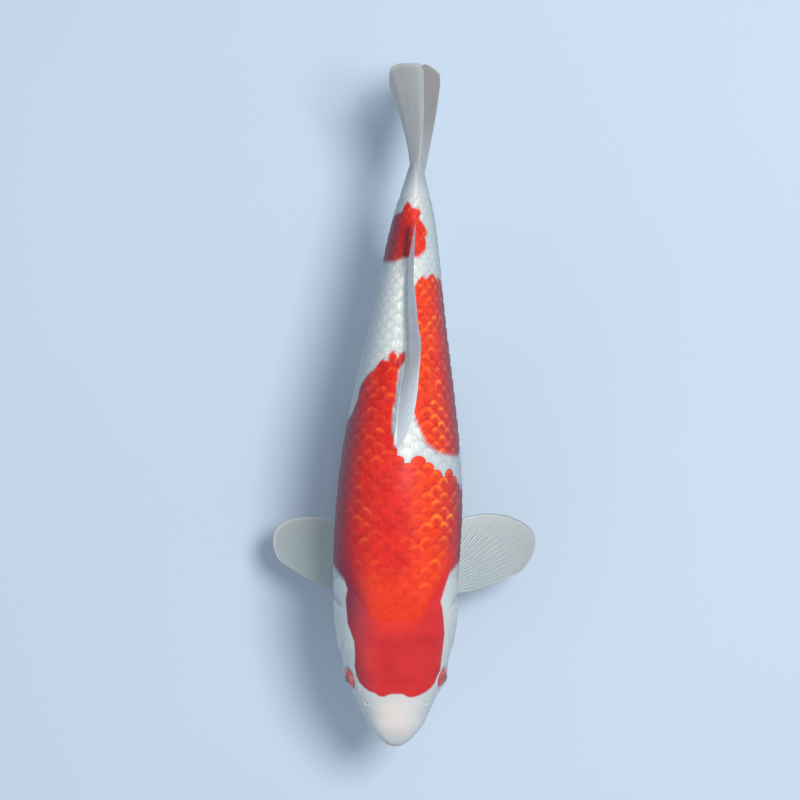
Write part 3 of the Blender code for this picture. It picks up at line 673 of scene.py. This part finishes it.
top, bottom = plate_places(0.0), plate_places(SCALE_THICKNESS)
rim_loop = grid_rim(PLATE_ACROSS, PLATE_ALONG)
top_count, rim_count = PLATE_ACROSS * PLATE_ALONG, len(rim_loop)
corner_count = top_count + rim_count
plate_faces = grid_faces(PLATE_ACROSS, PLATE_ALONG)
for i in range(rim_count):
    j = (i + 1) % rim_count
    plate_faces.append([rim_loop[j], rim_loop[i], top_count + i, top_count + j])
plate_faces.append(list(range(top_count, corner_count))[::-1])
top_places = hide(*top).reshape(-1, top_count, 3)
rim_places = hide(*bottom).reshape(-1, top_count, 3)[:, rim_loop]
plate_spots = np.concatenate([top_places, rim_places], axis=1)


def per_plate(values):
    """A row of numbers for each plate, one for each vertex of its top."""
    return values.reshape(-1, top_count)


plate_d = per_plate(top[0])
leftward = per_plate(np.degrees(clock_at(top[0], top[1])))
clock = np.abs(leftward)
tailward = (depth_in_red(middle_d + 2.0, root_share) - depth_in_red(middle_d - 2.0, root_share)) / 4.0
patch_begins = rise(tailward, 0.3, 0.8)[:, None]
whole_plate = (rise(-tailward, 0.15, 0.6) * (root_d < 255.0))[:, None]  # where a patch ends
softness = 0.7 - 0.6 * whole_plate + 1.3 * patch_begins
depth = whole_plate * root_depth[:, None] + (1 - whole_plate) * per_plate(depth_in_red(top[0], top[1]))
# painted highlight: a bright orange crescent near the tail end of each plate
plate_highlight = ridge(to_rim - 0.18, 0.12) * rise(plate_along, 0.15, 0.6) * ridge(plate_across, 0.75)
core = ridge(plate_along - 0.50, 0.22) * ridge(plate_across, 0.55)
nape = fall(plate_d, 128.0, 160.0) * fall(clock, 22.0, 44.0)
# painted light: the left shoulder, on the side of the key light, is painted orange
lit_left_shoulder = between(leftward, 4.0, 22.0, 38.0, 60.0) * (1 - 0.7 * rise(plate_d, 375.0, 395.0))
# how strong each plate's painted highlight is: random, mostly on the fish's left side towards the key light,
# faint along the front of the back and near the head
shine = dice.uniform(0.0, 1.15, len(root_d)) ** 1.3 * (0.30 + 0.70 * rise(root_share, 0.0, 0.20))
shine = shine * (1 - 0.75 * ridge(root_share, 0.10) * fall(root_d, 215.0, 240.0))
shine = (shine * rise(scaled(root_d, root_share), 0.0, 60.0))[:, None]
# painted shade on the flanks begins this many degrees nearer to the back on the fish's right side, away from
# the key light, most behind the head and on the tail stem
right_shade_offset = 18.0 + 16.0 * rise(plate_d, 380.0, 396.0) + 15.0 * ridge(plate_d - 126.0, 24.0)
# painted shadow of the dorsal fin, on the back to the right of its rear end
shadow_behind_dorsal = ridge(top_places[..., 0] + 3.4, 4.0) * between(plate_d, 372.0, 390.0, 414.0, 428.0)
plate_marks = {
    "red": rise(depth, -softness, softness),
    "plate_highlight": per_plate(plate_highlight) * shine,
    "core": per_plate(core) * (0.25 + 0.75 * shine),
    "nape_and_lit_shoulder": np.maximum(lit_left_shoulder, 0.75 * nape),
    "shade": per_plate(fall(bare, 0.0, 0.42)) * settled[:, None],
    # painted shade low on the flanks
    "flank_shade": rise(clock + right_shade_offset * (leftward < 0), 45.0, 84.0),
    # painted light: the top of the back, where the white plates are painted lighter
    "ridge": fall(clock, 0.0, 42.0),
    "scaled": per_plate(behind_nape(top[0], top[1])),
    "under": rise(clock, 78.0, 140.0),
    "tail": towards_tail(plate_d),
    # painted shade in the groove by the dorsal fin, and the fin's painted shadow
    "dorsal_fin_shade": np.maximum(beside_dorsal_root(top_places), shadow_behind_dorsal),
}

scale_finish = new_finish(
    "wet_scales", Roughness=0.46, Specular_IOR_Level=0.22, Coat_Weight=0.05, Coat_Roughness=0.16
)
grooves = noise(scale_finish, 1.0, 2.0, stretched=(900.0, 170.0, 900.0))
glints = ranged(scale_finish, grooves, 0.48, 0.72)
# random strength of the plates' painted highlights, and of their painted shade, which is weaker where the
# highlight is strong
spark = reckon(scale_finish, "ADD", mottle(scale_finish, 150.0, 0.42, 0.60), 0.22)
red = painted(
    scale_finish,
    (0.56, 0.009, 0.008),
    (mottle(scale_finish, 60.0, 0.3, 0.7), 1, (0.70, 0.016, 0.010)),
    # orange at the nape, and painted light: orange on the left shoulder, towards the key light
    ("nape_and_lit_shoulder", 0.6, (0.84, 0.060, 0.012)),
    ("core", 0.6, (0.46, 0.008, 0.012)),
    # painted highlight on each plate
    ("plate_highlight", spark, (1.0, 0.26, 0.025)),
    ("shade", reckon(scale_finish, "SUBTRACT", 0.95, spark), (0.36, 0.008, 0.012)),
    (glints, 0.13, (0.98, 0.16, 0.05)),
)
red = painted(
    scale_finish,
    (0.58, 0.016, 0.019),
    ("scaled", 1, red),
    # painted shade low on the flanks
    ("flank_shade", 0.82, FLANK_SHADE_RED),
    # painted shade and shadow by the dorsal fin
    ("dorsal_fin_shade", 1, (0.12, 0.010, 0.016)),
)
white = painted(
    scale_finish,
    (0.50, 0.55, 0.55),
    # painted shade: the white plates turn grey low on the flanks
    ("flank_shade", 1, (0.34, 0.40, 0.43)),
    # painted light: the white plates are lighter along the top of the back, and their painted glints are
    # brightest there
    ("ridge", 0.6, (0.72, 0.72, 0.65)),
    ("under", 0.7, (0.70, 0.67, 0.63)),
    (glints, 0.22, (0.84, 0.87, 0.84)),
    (glints, reckon(scale_finish, "MULTIPLY", "ridge", 0.8), (1.0, 0.98, 0.86)),
    ("shade", 1, (0.33, 0.38, 0.41)),
    # painted shade and shadow by the dorsal fin
    ("dorsal_fin_shade", 0.8, (0.18, 0.22, 0.26)),
    ("tail", 1, STEM_GREY),
)
grain = reckon(scale_finish, "MULTIPLY", mottle(scale_finish, 700.0, 0.35, 0.65, detail=2.0), 0.4)
connect(
    scale_finish,
    Base_Color=painted(scale_finish, white, ("red", 1, red)),
    Normal=bump(scale_finish, reckon(scale_finish, "ADD", grain, grooves), 0.05),
)

MAP_PATCH = 0.0015  # half the size of a plate on the map for baking
plate_map = np.stack([0.02 + 0.96 * root_d / BODY_LENGTH, 0.5 + 0.48 * root_share], -1)[:, None]
plate_map = plate_map + MAP_PATCH * np.stack([plate_along, plate_across], -1).reshape(1, -1, 2)
SCALE_PIECES = {"front": (0, 165), "middle": (165, 250), "rear": (250, 335), "tail": (335, 480)}


def with_rim(values):
    """Values for the tops of plates, and those of their rims again for the edge below."""
    return np.concatenate([values, values[:, rim_loop]], axis=1)


for part_name, (first_d, last_d) in SCALE_PIECES.items():
    chosen = (root_d >= first_d) & (root_d < last_d)
    count = int(chosen.sum())
    faces = [
        [corner + plate * corner_count for corner in face] for plate in range(count) for face in plate_faces
    ]
    marks = {name: with_rim(values[chosen]) for name, values in plate_marks.items()}
    on_rim = np.tile(np.isin(np.arange(corner_count), rim_loop), count)
    spots, flat = place(plate_spots[chosen]), with_rim(plate_map[chosen])
    scales = new_piece(f"koi_scales_{part_name}", spots, faces, scale_finish, marks, flat, on_rim)


# ---- Eyes ---------------------------------------------------------------------------------------------
# Glossy balls set deep in the head: a black pupil that stands a little proud, a thin gold ring and a
# copper red iris that is darker round the pupil.
EYE_LOOK = np.array((0.925, -0.27, 0.265))  # the pupil stands a little below the middle of the lids
PUPIL, IRIS = 3.4, 9.8  # radii over the axis of the look
PUPIL_STEP, PUPIL_GROOVE = 0.14, 0.1  # how far the pupil stands proud, and the depth of the groove round it
EYE_TURNS, EYE_RINGS = 64, 48
FRONT = 1.2  # radians from the axis of the look that the markings reach
HANDS = ((1, "left"), (-1, "right"))

eye_finish = new_finish("wet_eye", Roughness=0.12, Coat_Weight=1.0, Coat_Roughness=0.03)
eye_colour = painted(
    eye_finish,
    (0.34, 0.035, 0.045),
    (mottle(eye_finish, 520.0, 0.35, 0.65), 1, (0.52, 0.09, 0.09)),
    ("inner", 1, (0.07, 0.018, 0.028)),
    ("gold", 0.5, (0.70, 0.42, 0.16)),
    ("white", 1, (0.62, 0.42, 0.40)),
    ("pupil", 1, (0.004, 0.004, 0.005)),
)
connect(eye_finish, Base_Color=eye_colour)
from_look = np.linspace(0.0, 1.0, EYE_RINGS) ** 1.4 * math.pi
around = np.linspace(0.0, 2 * math.pi, EYE_TURNS, endpoint=False)
from_look, around = np.meshgrid(from_look, around, indexing="ij")
over_axis = EYE_RADIUS * np.sin(from_look)
in_front = from_look < FRONT
swell = PUPIL_STEP * fall(over_axis, PUPIL - 0.5, PUPIL) - PUPIL_GROOVE * ridge(over_axis - PUPIL, 0.35)
eye_radius = (EYE_RADIUS - 0.1 + swell * in_front)[..., None]
eye_marks = {
    "pupil": fall(over_axis, PUPIL - 0.15, PUPIL + 0.15) * in_front,
    "gold": ridge(over_axis - PUPIL - 0.45, 0.35) * in_front,
    "white": rise(over_axis, IRIS - 0.7, IRIS + 0.3),
    "inner": 0.85 * fall(over_axis, PUPIL + 0.6, PUPIL + 3.2),
}
for hand, word in HANDS:
    axis = unit(EYE_LOOK * (hand, 1, 1))
    upward = unit(np.array((0.0, 0.0, 1.0)) - axis * axis[2])
    forward = np.cross(upward, axis)
    ring = np.cos(around)[..., None] * upward + np.sin(around)[..., None] * forward
    ring = np.cos(from_look)[..., None] * axis + np.sin(from_look)[..., None] * ring
    faces = grid_faces(EYE_RINGS, EYE_TURNS, closed=True)
    faces = faces if hand < 0 else [face[::-1] for face in faces]
    spots = EYE_PLACE * (hand, 1, 1) + eye_radius * ring
    eye = new_piece(f"koi_eye_{word}", place(spots), faces, eye_finish, eye_marks)
    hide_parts(f"eye_{word}")


# ---- Barbels ------------------------------------------------------------------------------------------
# Two pairs of soft feelers: short ones on the upper lip, long ones at the corners of the mouth. Each
# widens at its root, where the skin of the lip runs out on to it, and tapers to a round tip.
BARBEL_ROUTES = {  # the radius, and the corners of the line on the left
    "front": (
        1.0,
        [(12.5, 10.5, -9.0), (13, 9.5, -10), (16, 8.5, -14), (17.5, 10, -20), (17.5, 13, -25)],
    ),
    "rear": (
        1.4,
        [(16.5, 21, -16.5), (18, 21, -18), (22, 21, -23), (24, 24, -32), (24, 31, -40.5)],
    ),
}
BARBEL_RINGS, BARBEL_SIDES = 44, 20


def smooth_route(corners, count):
    """Points along a smooth curve between the corners, made by cutting them off four times over."""
    route = np.array(corners, float)
    for _ in range(4):
        cut = [route[:-1] * 0.75 + route[1:] * 0.25, route[:-1] * 0.25 + route[1:] * 0.75]
        route = np.concatenate([route[:1], np.concatenate(cut, axis=1).reshape(-1, 3), route[-1:]])
    gone = np.insert(np.cumsum(np.linalg.norm(np.diff(route, axis=0), axis=1)), 0, 0.0)
    at = np.linspace(0.0, gone[-1], count)
    return np.stack([np.interp(at, gone, route[:, k]) for k in range(3)], -1), at


barbel_finish = new_finish(
    "barbel_skin", Roughness=0.36, Coat_Weight=0.4, Coat_Roughness=0.12, Subsurface_Weight=0.1
)
barbel_colour = painted(
    barbel_finish,
    (0.70, 0.62, 0.58),
    (mottle(barbel_finish, 260.0, 0.3, 0.7), 1, (0.78, 0.76, 0.74)),
    ("tip", 1, (0.72, 0.52, 0.46)),
)
rings = mottle(barbel_finish, 1100.0, 0.35, 0.65)
connect(barbel_finish, Base_Color=barbel_colour, Normal=bump(barbel_finish, rings, 0.05))
turned = np.linspace(0, 2 * math.pi, BARBEL_SIDES, endpoint=False)[None, :, None]
barbel_faces = grid_faces(BARBEL_RINGS, BARBEL_SIDES, closed=True)
last_ring, root_vertex = (BARBEL_RINGS - 1) * BARBEL_SIDES, BARBEL_RINGS * BARBEL_SIDES
for i in range(BARBEL_SIDES):
    j = (i + 1) % BARBEL_SIDES
    barbel_faces += [[root_vertex, j, i], [root_vertex + 1, last_ring + i, last_ring + j]]
for pair, (thick, corners) in BARBEL_ROUTES.items():
    for hand, word in HANDS:
        middle, gone = smooth_route([(hand * x, d, z) for x, d, z in corners], BARBEL_RINGS)
        ahead = unit(np.gradient(middle, axis=0))
        across = unit(np.cross(ahead, (0.0, 1.0, 0.0)))
        ring = np.cos(turned) * across[:, None] + np.sin(turned) * np.cross(ahead, across)[:, None]
        share = gone / gone[-1]
        rounding = np.sqrt(1 - np.clip((share - 0.94) / 0.06, 0, 1) ** 2 * 0.98)
        width = thick * (1 - 0.6 * share) * (1 + 0.7 * ridge(share, 0.16)) * rounding
        width = width * (1 + 0.04 * np.sin(gone * 9.0))
        spots = (middle[:, None] + width[:, None, None] * ring).reshape(-1, 3)
        spots = np.concatenate([spots, middle[:1], middle[-1:]])
        tip = np.append(np.repeat(rise(share, 0.5, 1.0), BARBEL_SIDES), (0.0, 1.0))
        name = f"koi_barbel_{pair}_{word}"
        barbel = new_piece(name, place(spots), barbel_faces, barbel_finish, {"tip": tip})
        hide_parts(f"barbel_{pair}_{word}")


# ---- Pectoral fins ------------------------------------------------------------------------------------
# Broad paddles behind the gill covers: bony rays that fork twice on their way out, joined by a thin
# milky skin. The first ray is the stoutest, and the root is a small fleshy lobe.
PECTORAL_TIPS = np.array(
    [  # share of the rays from the leading edge, out from the root and back from it
        (0.00, 62.5, 8.0),
        (0.04, 68.6, 11.0),
        (0.10, 74.5, 18.0),
        (0.20, 78.8, 27.0),
        (0.30, 79.8, 35.5),
        (0.40, 77.5, 43.5),
        (0.50, 71.5, 50.0),
        (0.60, 62.5, 55.0),
        (0.70, 51.0, 58.8),
        (0.80, 37.0, 60.2),
        (0.90, 21.0, 58.0),
        (1.00, 5.0, 50.0),
    ]
)
PECTORAL_ROOT = (36.0, 127.5, -40.0)
PECTORAL_POSE = {"left": (12.0, 0.0, 1.0), "right": (22.0, 9.0, 0.84)}  # droop, sweep and fan of each
PECTORAL_PITCH = math.radians(5.0)
RAY_FORKS = (0.38, 0.68)  # shares of a ray's length
RAY_SAMPLES = 16  # columns of vertices for each ray
WEB_HALF, RAY_HALF = 0.15, 0.19  # half the thickness of the skin between the rays, and what a ray adds


def ray_relief(s, t, rays):
    """How much a place of the fin lies on a ray. Each ray forks in two, and each half of it again."""
    turn = 2 * math.pi * rays * s
    whole = (0.5 + 0.5 * np.cos(turn)) ** 2
    half = (0.5 - 0.5 * np.cos(2 * turn)) ** 1.6
    quarter = (0.5 - 0.5 * np.cos(4 * turn)) ** 1.3
    first, second = (rise(t, at - 0.07, at + 0.07) for at in RAY_FORKS)
    return (whole * (1 - first) + half * first) * (1 - second) + quarter * second


def new_fin(
    node, root, tip, bow, rays, finish, lobe, lobe_reach=0.09,
    lead=0.03, trail=0.02, fold=0.09, early=1.0, steps=46, behind=lambda sheet: 0.0,
):
    """A fin of the solid's own curves: each face of it raised along the rays, its edge nicked between them.

    Lobe is the thickness of flesh at the root, and lobe_reach the share of the height in which it thins.
    Lead and trail are how wide the stout front and rear edges are, and early draws the bow to the root.
    """
    shares = np.linspace(0, 1, rays * RAY_SAMPLES + 1), np.linspace(0, 1, steps) ** 0.9
    s, t = np.meshgrid(*shares, indexing="ij")
    start, end, swell = (np.stack(np.broadcast_arrays(*curve(s)), -1) for curve in (root, tip, bow))
    on_ray = ray_relief(s, t, rays)
    nick = 0.010 * (1 - on_ray) * rise(t, 0.9, 1.0)
    t3 = (t - nick)[..., None]
    sheet = start + (end - start) * t3 + swell * np.sin(math.pi * t3**early)
    out = unit(np.cross(np.gradient(sheet, axis=0), np.gradient(sheet, axis=1)))
    folded = fold * np.cos(2 * math.pi * rays * s) * rise(t, 0.02, 0.3) * (1 - 0.9 * rise(t, 0.2, 0.8))
    stout = 0.4 * ridge(s, 0.012) + 0.1 * ridge(s - 1, 0.008)
    half = WEB_HALF + RAY_HALF * on_ray * (1 - 0.85 * t) + stout * (1 - 0.6 * t)
    half = half + lobe * ridge(t, lobe_reach) * (1 - (2 * s - 1) ** 8)
    to_edge = np.minimum(np.minimum(s, 1 - s) * rays * 2, (1 - t) * 22)
    half = half * np.sqrt(np.clip(to_edge, 0.02, 1))  # rounded off all along the edge
    both = np.stack([sheet + out * (folded + half)[..., None], sheet + out * (folded - half)[..., None]])
    rows, columns = s.shape
    faces = grid_faces(rows, columns) + [face[::-1] for face in grid_faces(rows, columns, s.size)]
    rim = grid_rim(rows, columns)
    faces += [[b, a, a + s.size, b + s.size] for a, b in zip(rim, rim[1:] + rim[:1])]
    marks = {
        "ray": on_ray * (1 - 0.8 * rise(t, 0.25, 0.9)),
        "out": t,
        "lead": np.maximum(ridge(s, lead), ridge(s - 1, trail)),
        "behind": behind(sheet) + 0 * s,
    }
    marks = {name: np.tile(values.ravel(), 2) for name, values in marks.items()}
    flat = np.stack([s * 0.96 + 0.02, t * 0.47 + 0.01], -1).reshape(-1, 2)
    flat = np.concatenate([flat, flat + (0.0, 0.5)])
    fin = new_piece(f"koi_{node}", place(both), faces, finish, marks, flat)
    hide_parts(node)


def fin_finish(name, membrane, ray, margin, flesh, tint, tinting, front=None):
    """Milky skin with paler rays, another colour at the margin and at the root, and joints across the rays.

    The tint is painted light: painted shade on the left pectoral fin and on the lower lobe of the tail,
    and the red of the back painted on the dorsal fin as if seen through it. It lies where the fin is marked
    as behind, and front is the colour of the stout edges.
    """
    finish = new_finish(
        name,
        Roughness=0.42,
        Coat_Weight=0.12,
        Coat_Roughness=0.2,
        Subsurface_Weight=0.35,
        Subsurface_Radius=(0.002, 0.0015, 0.0012),
    )
    colour = painted(
        finish,
        membrane,
        ("ray", 0.75, ray),
        (mottle(finish, 90.0, 0.3, 0.7), 0.25, margin),
        (ranged(finish, "out", 0.72, 1.0), 0.55, margin),
        (ranged(finish, "out", 0.965, 0.99), 0.35, (0.66, 0.68, 0.67)),
        (ranged(finish, "out", 0.25, 0.0), 0.7, flesh),
        ("lead", 0.6, front or margin),
        ("behind", tinting, tint),
    )
    joints = reckon(finish, "MULTIPLY", mottle(finish, 850.0, 0.4, 0.6, detail=1.0), "ray")
    connect(finish, Base_Color=colour, Normal=bump(finish, joints, 0.08))
    return finish


paired_finish = fin_finish(
    "paired_fins",
    membrane=(0.29, 0.36, 0.37),
    ray=(0.42, 0.49, 0.50),
    margin=(0.42, 0.42, 0.40),
    flesh=(0.45, 0.46, 0.44),
    # tint: painted shade laid over the whole left pectoral fin, which faces the key light
    tint=(0.17, 0.22, 0.24),
    tinting=0.45,
)
for hand, word in HANDS:
    droop, sweep, fan = PECTORAL_POSE[word]
    droop, sweep = math.radians(droop), math.radians(sweep)
    level_out = np.array((hand * math.cos(droop), 0.0, -math.sin(droop)))
    level_back = np.array((0.0, math.cos(PECTORAL_PITCH), -math.sin(PECTORAL_PITCH)))
    out = level_out * math.cos(sweep) + level_back * math.sin(sweep)
    back = (level_back * math.cos(sweep) - level_out * math.sin(sweep)) * fan
    centre = np.array((hand * PECTORAL_ROOT[0], *PECTORAL_ROOT[1:]))
    new_fin(
        f"pectoral_fin_{word}",
        lambda s: [centre[k] - 4.0 * out[k] + back[k] * 7.0 * (2 * s - 1) for k in range(3)],
        lambda s: [
            centre[k] + along(PECTORAL_TIPS, 1, s) * out[k] + along(PECTORAL_TIPS, 2, s) * back[k]
            for k in range(3)
        ],
        lambda s: [-4.5 * (1 - s) * back[k] for k in range(3)],
        17,
        paired_finish,
        lobe=2.6,
        # painted shade over the whole left fin
        behind=lambda sheet: float(hand > 0),
    )


# ---- Dorsal fin ---------------------------------------------------------------------------------------
# Half folded: a stout first ray and some twenty soft ones lie back along the fish and lean to its
# left, so the front rays make a narrow ribbon over the ridge of the back.
DORSAL_EDGE = np.array(
    [  # share of the rays from the front, leaning over to the left, behind the snout, height over the back
        (0.00, 16.0, 322.0, 26.0),
        (0.20, 16.0, 325.0, 26.0),
        (0.40, 15.0, 331.0, 25.0),
        (0.55, 12.4, 341.0, 23.0),
        (0.70, 10.0, 356.0, 20.5),
        (0.85, 5.4, 380.0, 17.0),
        (1.00, 2.6, 422.0, 10.0),
    ]
)


def red_below(sheet):
    """Where the red of the back lies under the fin; the red seen through the fin is painted on it there."""
    x, d, z = sheet[..., 0], sheet[..., 1], sheet[..., 2]
    share = np.arctan2(x, np.maximum(z, 5.0)) / math.pi
    return rise(depth_in_red(d, share), -3.0, 6.0)


back_finish = fin_finish(
    "back_fin",
    membrane=(0.42, 0.48, 0.51),
    ray=(0.57, 0.62, 0.64),
    margin=(0.70, 0.74, 0.76),
    # painted shade: the root of the dorsal fin is dark, as the fold beside it lies in shade
    flesh=(0.13, 0.16, 0.20),
    # tint: the pink of the red back seen through the fin, painted on
    tint=(0.66, 0.36, 0.46),
    tinting=0.6,
)


def on_back(x, d, over):
    """A place over the ridge of the back."""
    return x, d, along(BODY_FORM, 2, d) + over


new_fin(
    "dorsal_fin",
    lambda s: on_back(dorsal_root_x(s), DORSAL_BASE[0] + (DORSAL_BASE[1] - DORSAL_BASE[0]) * s, -3.0),
    lambda s: on_back(*(along(DORSAL_EDGE, k, s) for k in (1, 2, 3))),
    lambda s: (4.0 * (1 - s) + 5.0 * (1 - s) ** 4, -1.0, 5.0 - 3.0 * s),
    21,
    back_finish,
    lobe=0.8,
    # painted light: a wide pale band of the margin's colour along the front rays keeps them bright, though
    # they face away from the key light
    lead=0.34,
    early=0.62,
    fold=0.20,
    # painted see-through red where the red of the back lies below
    behind=red_below,
)


# ---- Pelvic and anal fins -----------------------------------------------------------------------------
# A pair of small paddles under the belly and a short single fin under the tail stem, all with rays swept
# back, of the same skin as the pectoral fins.
PELVIC_ROOT = (15.0, 252.0, -58.0)
for hand, word in HANDS:
    trail = (hand * 0.24, 0.88, -0.40)
    across = (hand * 0.62, -0.52, -0.58)
    centre = (hand * PELVIC_ROOT[0], *PELVIC_ROOT[1:])
    new_fin(
        f"pelvic_fin_{word}",
        lambda s: [centre[k] + across[k] * 5.0 * (1 - 2 * s) for k in range(3)],
        lambda s: [
            centre[k] + trail[k] * 52.0 * (1 - 0.34 * (2 * s - 0.8) ** 2) + across[k] * 16.0 * (1 - 2 * s)
            for k in range(3)
        ],
        lambda s: [across[k] * 2.5 * (1 - 2 * s) for k in range(3)],
        10,
        paired_finish,
        lobe=1.6,
        steps=36,
    )

ANAL_EDGE = np.array(
    [  # share of the rays from the front, behind the snout, depth below the axis
        (0.0, 395.0, 80.0),
        (0.25, 404.0, 77.0),
        (0.5, 410.0, 68.0),
        (0.75, 413.0, 57.0),
        (1.0, 413.0, 47.0),
    ]
)


def in_belly(d):
    """A place just inside the underside of the body."""
    return 0.0 * d, d, 3.0 - along(BODY_FORM, 3, d)


new_fin(
    "anal_fin",
    lambda s: in_belly(362.0 + 30.0 * s),
    lambda s: (1.5 * (1 - s), along(ANAL_EDGE, 1, s), -along(ANAL_EDGE, 2, s)),
    lambda s: (0.0, 2.0 - 4.0 * s, -2.0),
    9,
    paired_finish,
    lobe=0.8,
    steps=36,
)


# ---- Tail fin -----------------------------------------------------------------------------------------
# Forked, of nineteen long rays and shorter ones along its upper and lower edge. The two lobes are
# twisted to opposite sides, so that each shows its broad face from above.
TAIL_EDGE = np.array(
    [  # share of the rays from the lower edge, to the left of the stem, behind the snout, above the axis
        (0.00, 20.0, 543.0, -54.0),
        (0.08, 19.6, 550.0, -49.0),
        (0.16, 14.0, 555.0, -42.0),
        (0.24, 8.0, 557.4, -34.0),
        (0.32, 1.5, 554.6, -25.5),
        (0.40, -5.0, 531.0, -16.0),
        (0.50, -12.5, 522.0, -4.0),
        (0.60, -18.5, 527.0, 8.0),
        (0.70, -22.5, 538.0, 18.0),
        (0.78, -21.5, 547.0, 26.0),
        (0.86, -13.5, 550.5, 34.5),
        (0.93, -3.0, 550.0, 42.0),
        (0.97, 2.0, 549.0, 45.0),
        (1.00, 5.5, 544.5, 47.0),
    ]
)
TAIL_ROOT = 452.0
stem_middle = float(along(SPINE_SWING, 1, BODY_LENGTH) - along(SPINE_SWING, 1, TAIL_ROOT))
tail_finish = fin_finish(
    "tail_skin",
    membrane=(0.31, 0.33, 0.33),
    ray=(0.38, 0.40, 0.40),
    margin=(0.39, 0.37, 0.35),
    flesh=(0.38, 0.41, 0.42),
    # tint: painted shade on the lower lobe
    tint=(0.22, 0.19, 0.17),
    tinting=0.7,
    # front: the stout edge rays, paler than the web and painted brighter still as a highlight along them
    front=(0.56, 0.60, 0.61),
)
new_fin(
    "tail_fin",
    lambda s: (stem_middle, TAIL_ROOT, 25.0 * (2 * s - 1) + 0.5),
    lambda s: [along(TAIL_EDGE, k, s) for k in (1, 2, 3)],
    lambda s: (2.0, 0.0, 2.0 * (1 - 2 * s)),
    24,
    tail_finish,
    lobe=3.0,
    lobe_reach=0.38,
    trail=0.045,
    fold=0.08,
    steps=56,
    # painted shade on the lower lobe, towards its end
    behind=lambda sheet: rise(-sheet[..., 2], -2.0, 16.0) * rise(sheet[..., 1], 475.0, 520.0),
)


# ---- Stand --------------------------------------------------------------------------------------------
# A slim base of dark stained hardwood, waxed, and two brushed steel rods with foot plates that carry
# the belly. The solids have the right shape and get their finishes here.
ALONG_GRAIN = (42.0, 3.0, 42.0)
wood = new_finish("stained_hardwood", Roughness=0.42, Coat_Weight=0.25, Coat_Roughness=0.2)
pore_lines = noise(wood, 26.0, 3.0, stretched=ALONG_GRAIN)
wood_colour = painted(
    wood,
    (0.018, 0.009, 0.005),
    (noise(wood, 2.2, 8.0, stretched=ALONG_GRAIN, distortion=0.7), 1, (0.095, 0.045, 0.022)),
    (pore_lines, 0.5, (0.02, 0.010, 0.006)),
)
connect(wood, Base_Color=wood_colour, Normal=bump(wood, pore_lines, 0.12))
steel = new_finish("brushed_steel", Metallic=1.0, Roughness=0.3)
brushing = noise(steel, 1.0, 4.0, stretched=(30.0, 30.0, 2500.0))
connect(
    steel,
    Base_Color=painted(steel, (0.46, 0.46, 0.47), (brushing, 1, (0.66, 0.66, 0.66))),
    Roughness=ranged(steel, brushing, 0.0, 1.0, 0.22, 0.42),
    Normal=bump(steel, brushing, 0.02),
)
for node, finish in (("stand_base", wood), ("stand_rod_front", steel), ("stand_rod_rear", steel)):
    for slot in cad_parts[node].material_slots:
        slot.material = finish


# ---- Studio -------------------------------------------------------------------------------------------
# A plain pale floor, one large soft light high on the fish's left, a weaker one on its right, and the
# camera straight above.
floor_mesh = bpy.data.meshes.new("studio_floor")
floor_mesh.from_pydata([(-3, -3, 0), (3, -3, 0), (3, 3, 0), (-3, 3, 0)], [], [(0, 1, 2, 3)])
floor_finish = new_finish("matt_floor", Roughness=0.8)
patchy = mottle(floor_finish, 1.5, 0.3, 0.7)
connect(floor_finish, Base_Color=painted(floor_finish, (0.47, 0.56, 0.66), (patchy, 1, (0.49, 0.58, 0.68))))
floor_mesh.materials.append(floor_finish)
floor = bpy.data.objects.new("studio_floor", floor_mesh)
bpy.context.collection.objects.link(floor)

LIT_PLACE = np.array((0.0, 0.0, 0.12))  # in metres, as the lights and the camera are


def new_light(name, spot, size, power, colour):
    """A round soft light that shines on the fish from this spot."""
    light = bpy.data.lights.new(name, "AREA")
    light.shape = "DISK"
    light.size, light.energy, light.color = size, power, colour
    lamp = bpy.data.objects.new(name, light)
    lamp.location = spot
    x, y, z = LIT_PLACE - spot
    lamp.rotation_euler = (math.atan2(math.hypot(x, y), -z), 0.0, -math.atan2(x, y))
    bpy.context.collection.objects.link(lamp)


new_light("key_light", (0.62, 0.28, 2.05), 0.7, 36.5, (1.0, 0.985, 0.96))
new_light("fill_light", (-1.5, -0.9, 1.2), 1.8, 5.0, (0.9, 0.95, 1.0))
world = bpy.data.worlds.new("studio_air")
world.use_nodes = True
world.node_tree.nodes["Background"].inputs["Color"].default_value = (0.80, 0.88, 1.0, 1.0)
world.node_tree.nodes["Background"].inputs["Strength"].default_value = 0.55
bpy.context.scene.world = world
bpy.context.scene.view_settings.view_transform = "Standard"

camera_lens = bpy.data.cameras.new("camera")
camera_lens.lens = 133.2
camera_lens.sensor_width = 36.0
camera = bpy.data.objects.new("camera", camera_lens)
camera.location = (-0.00243, 0.00407, 2.528)
bpy.context.collection.objects.link(camera)
bpy.context.scene.camera = camera
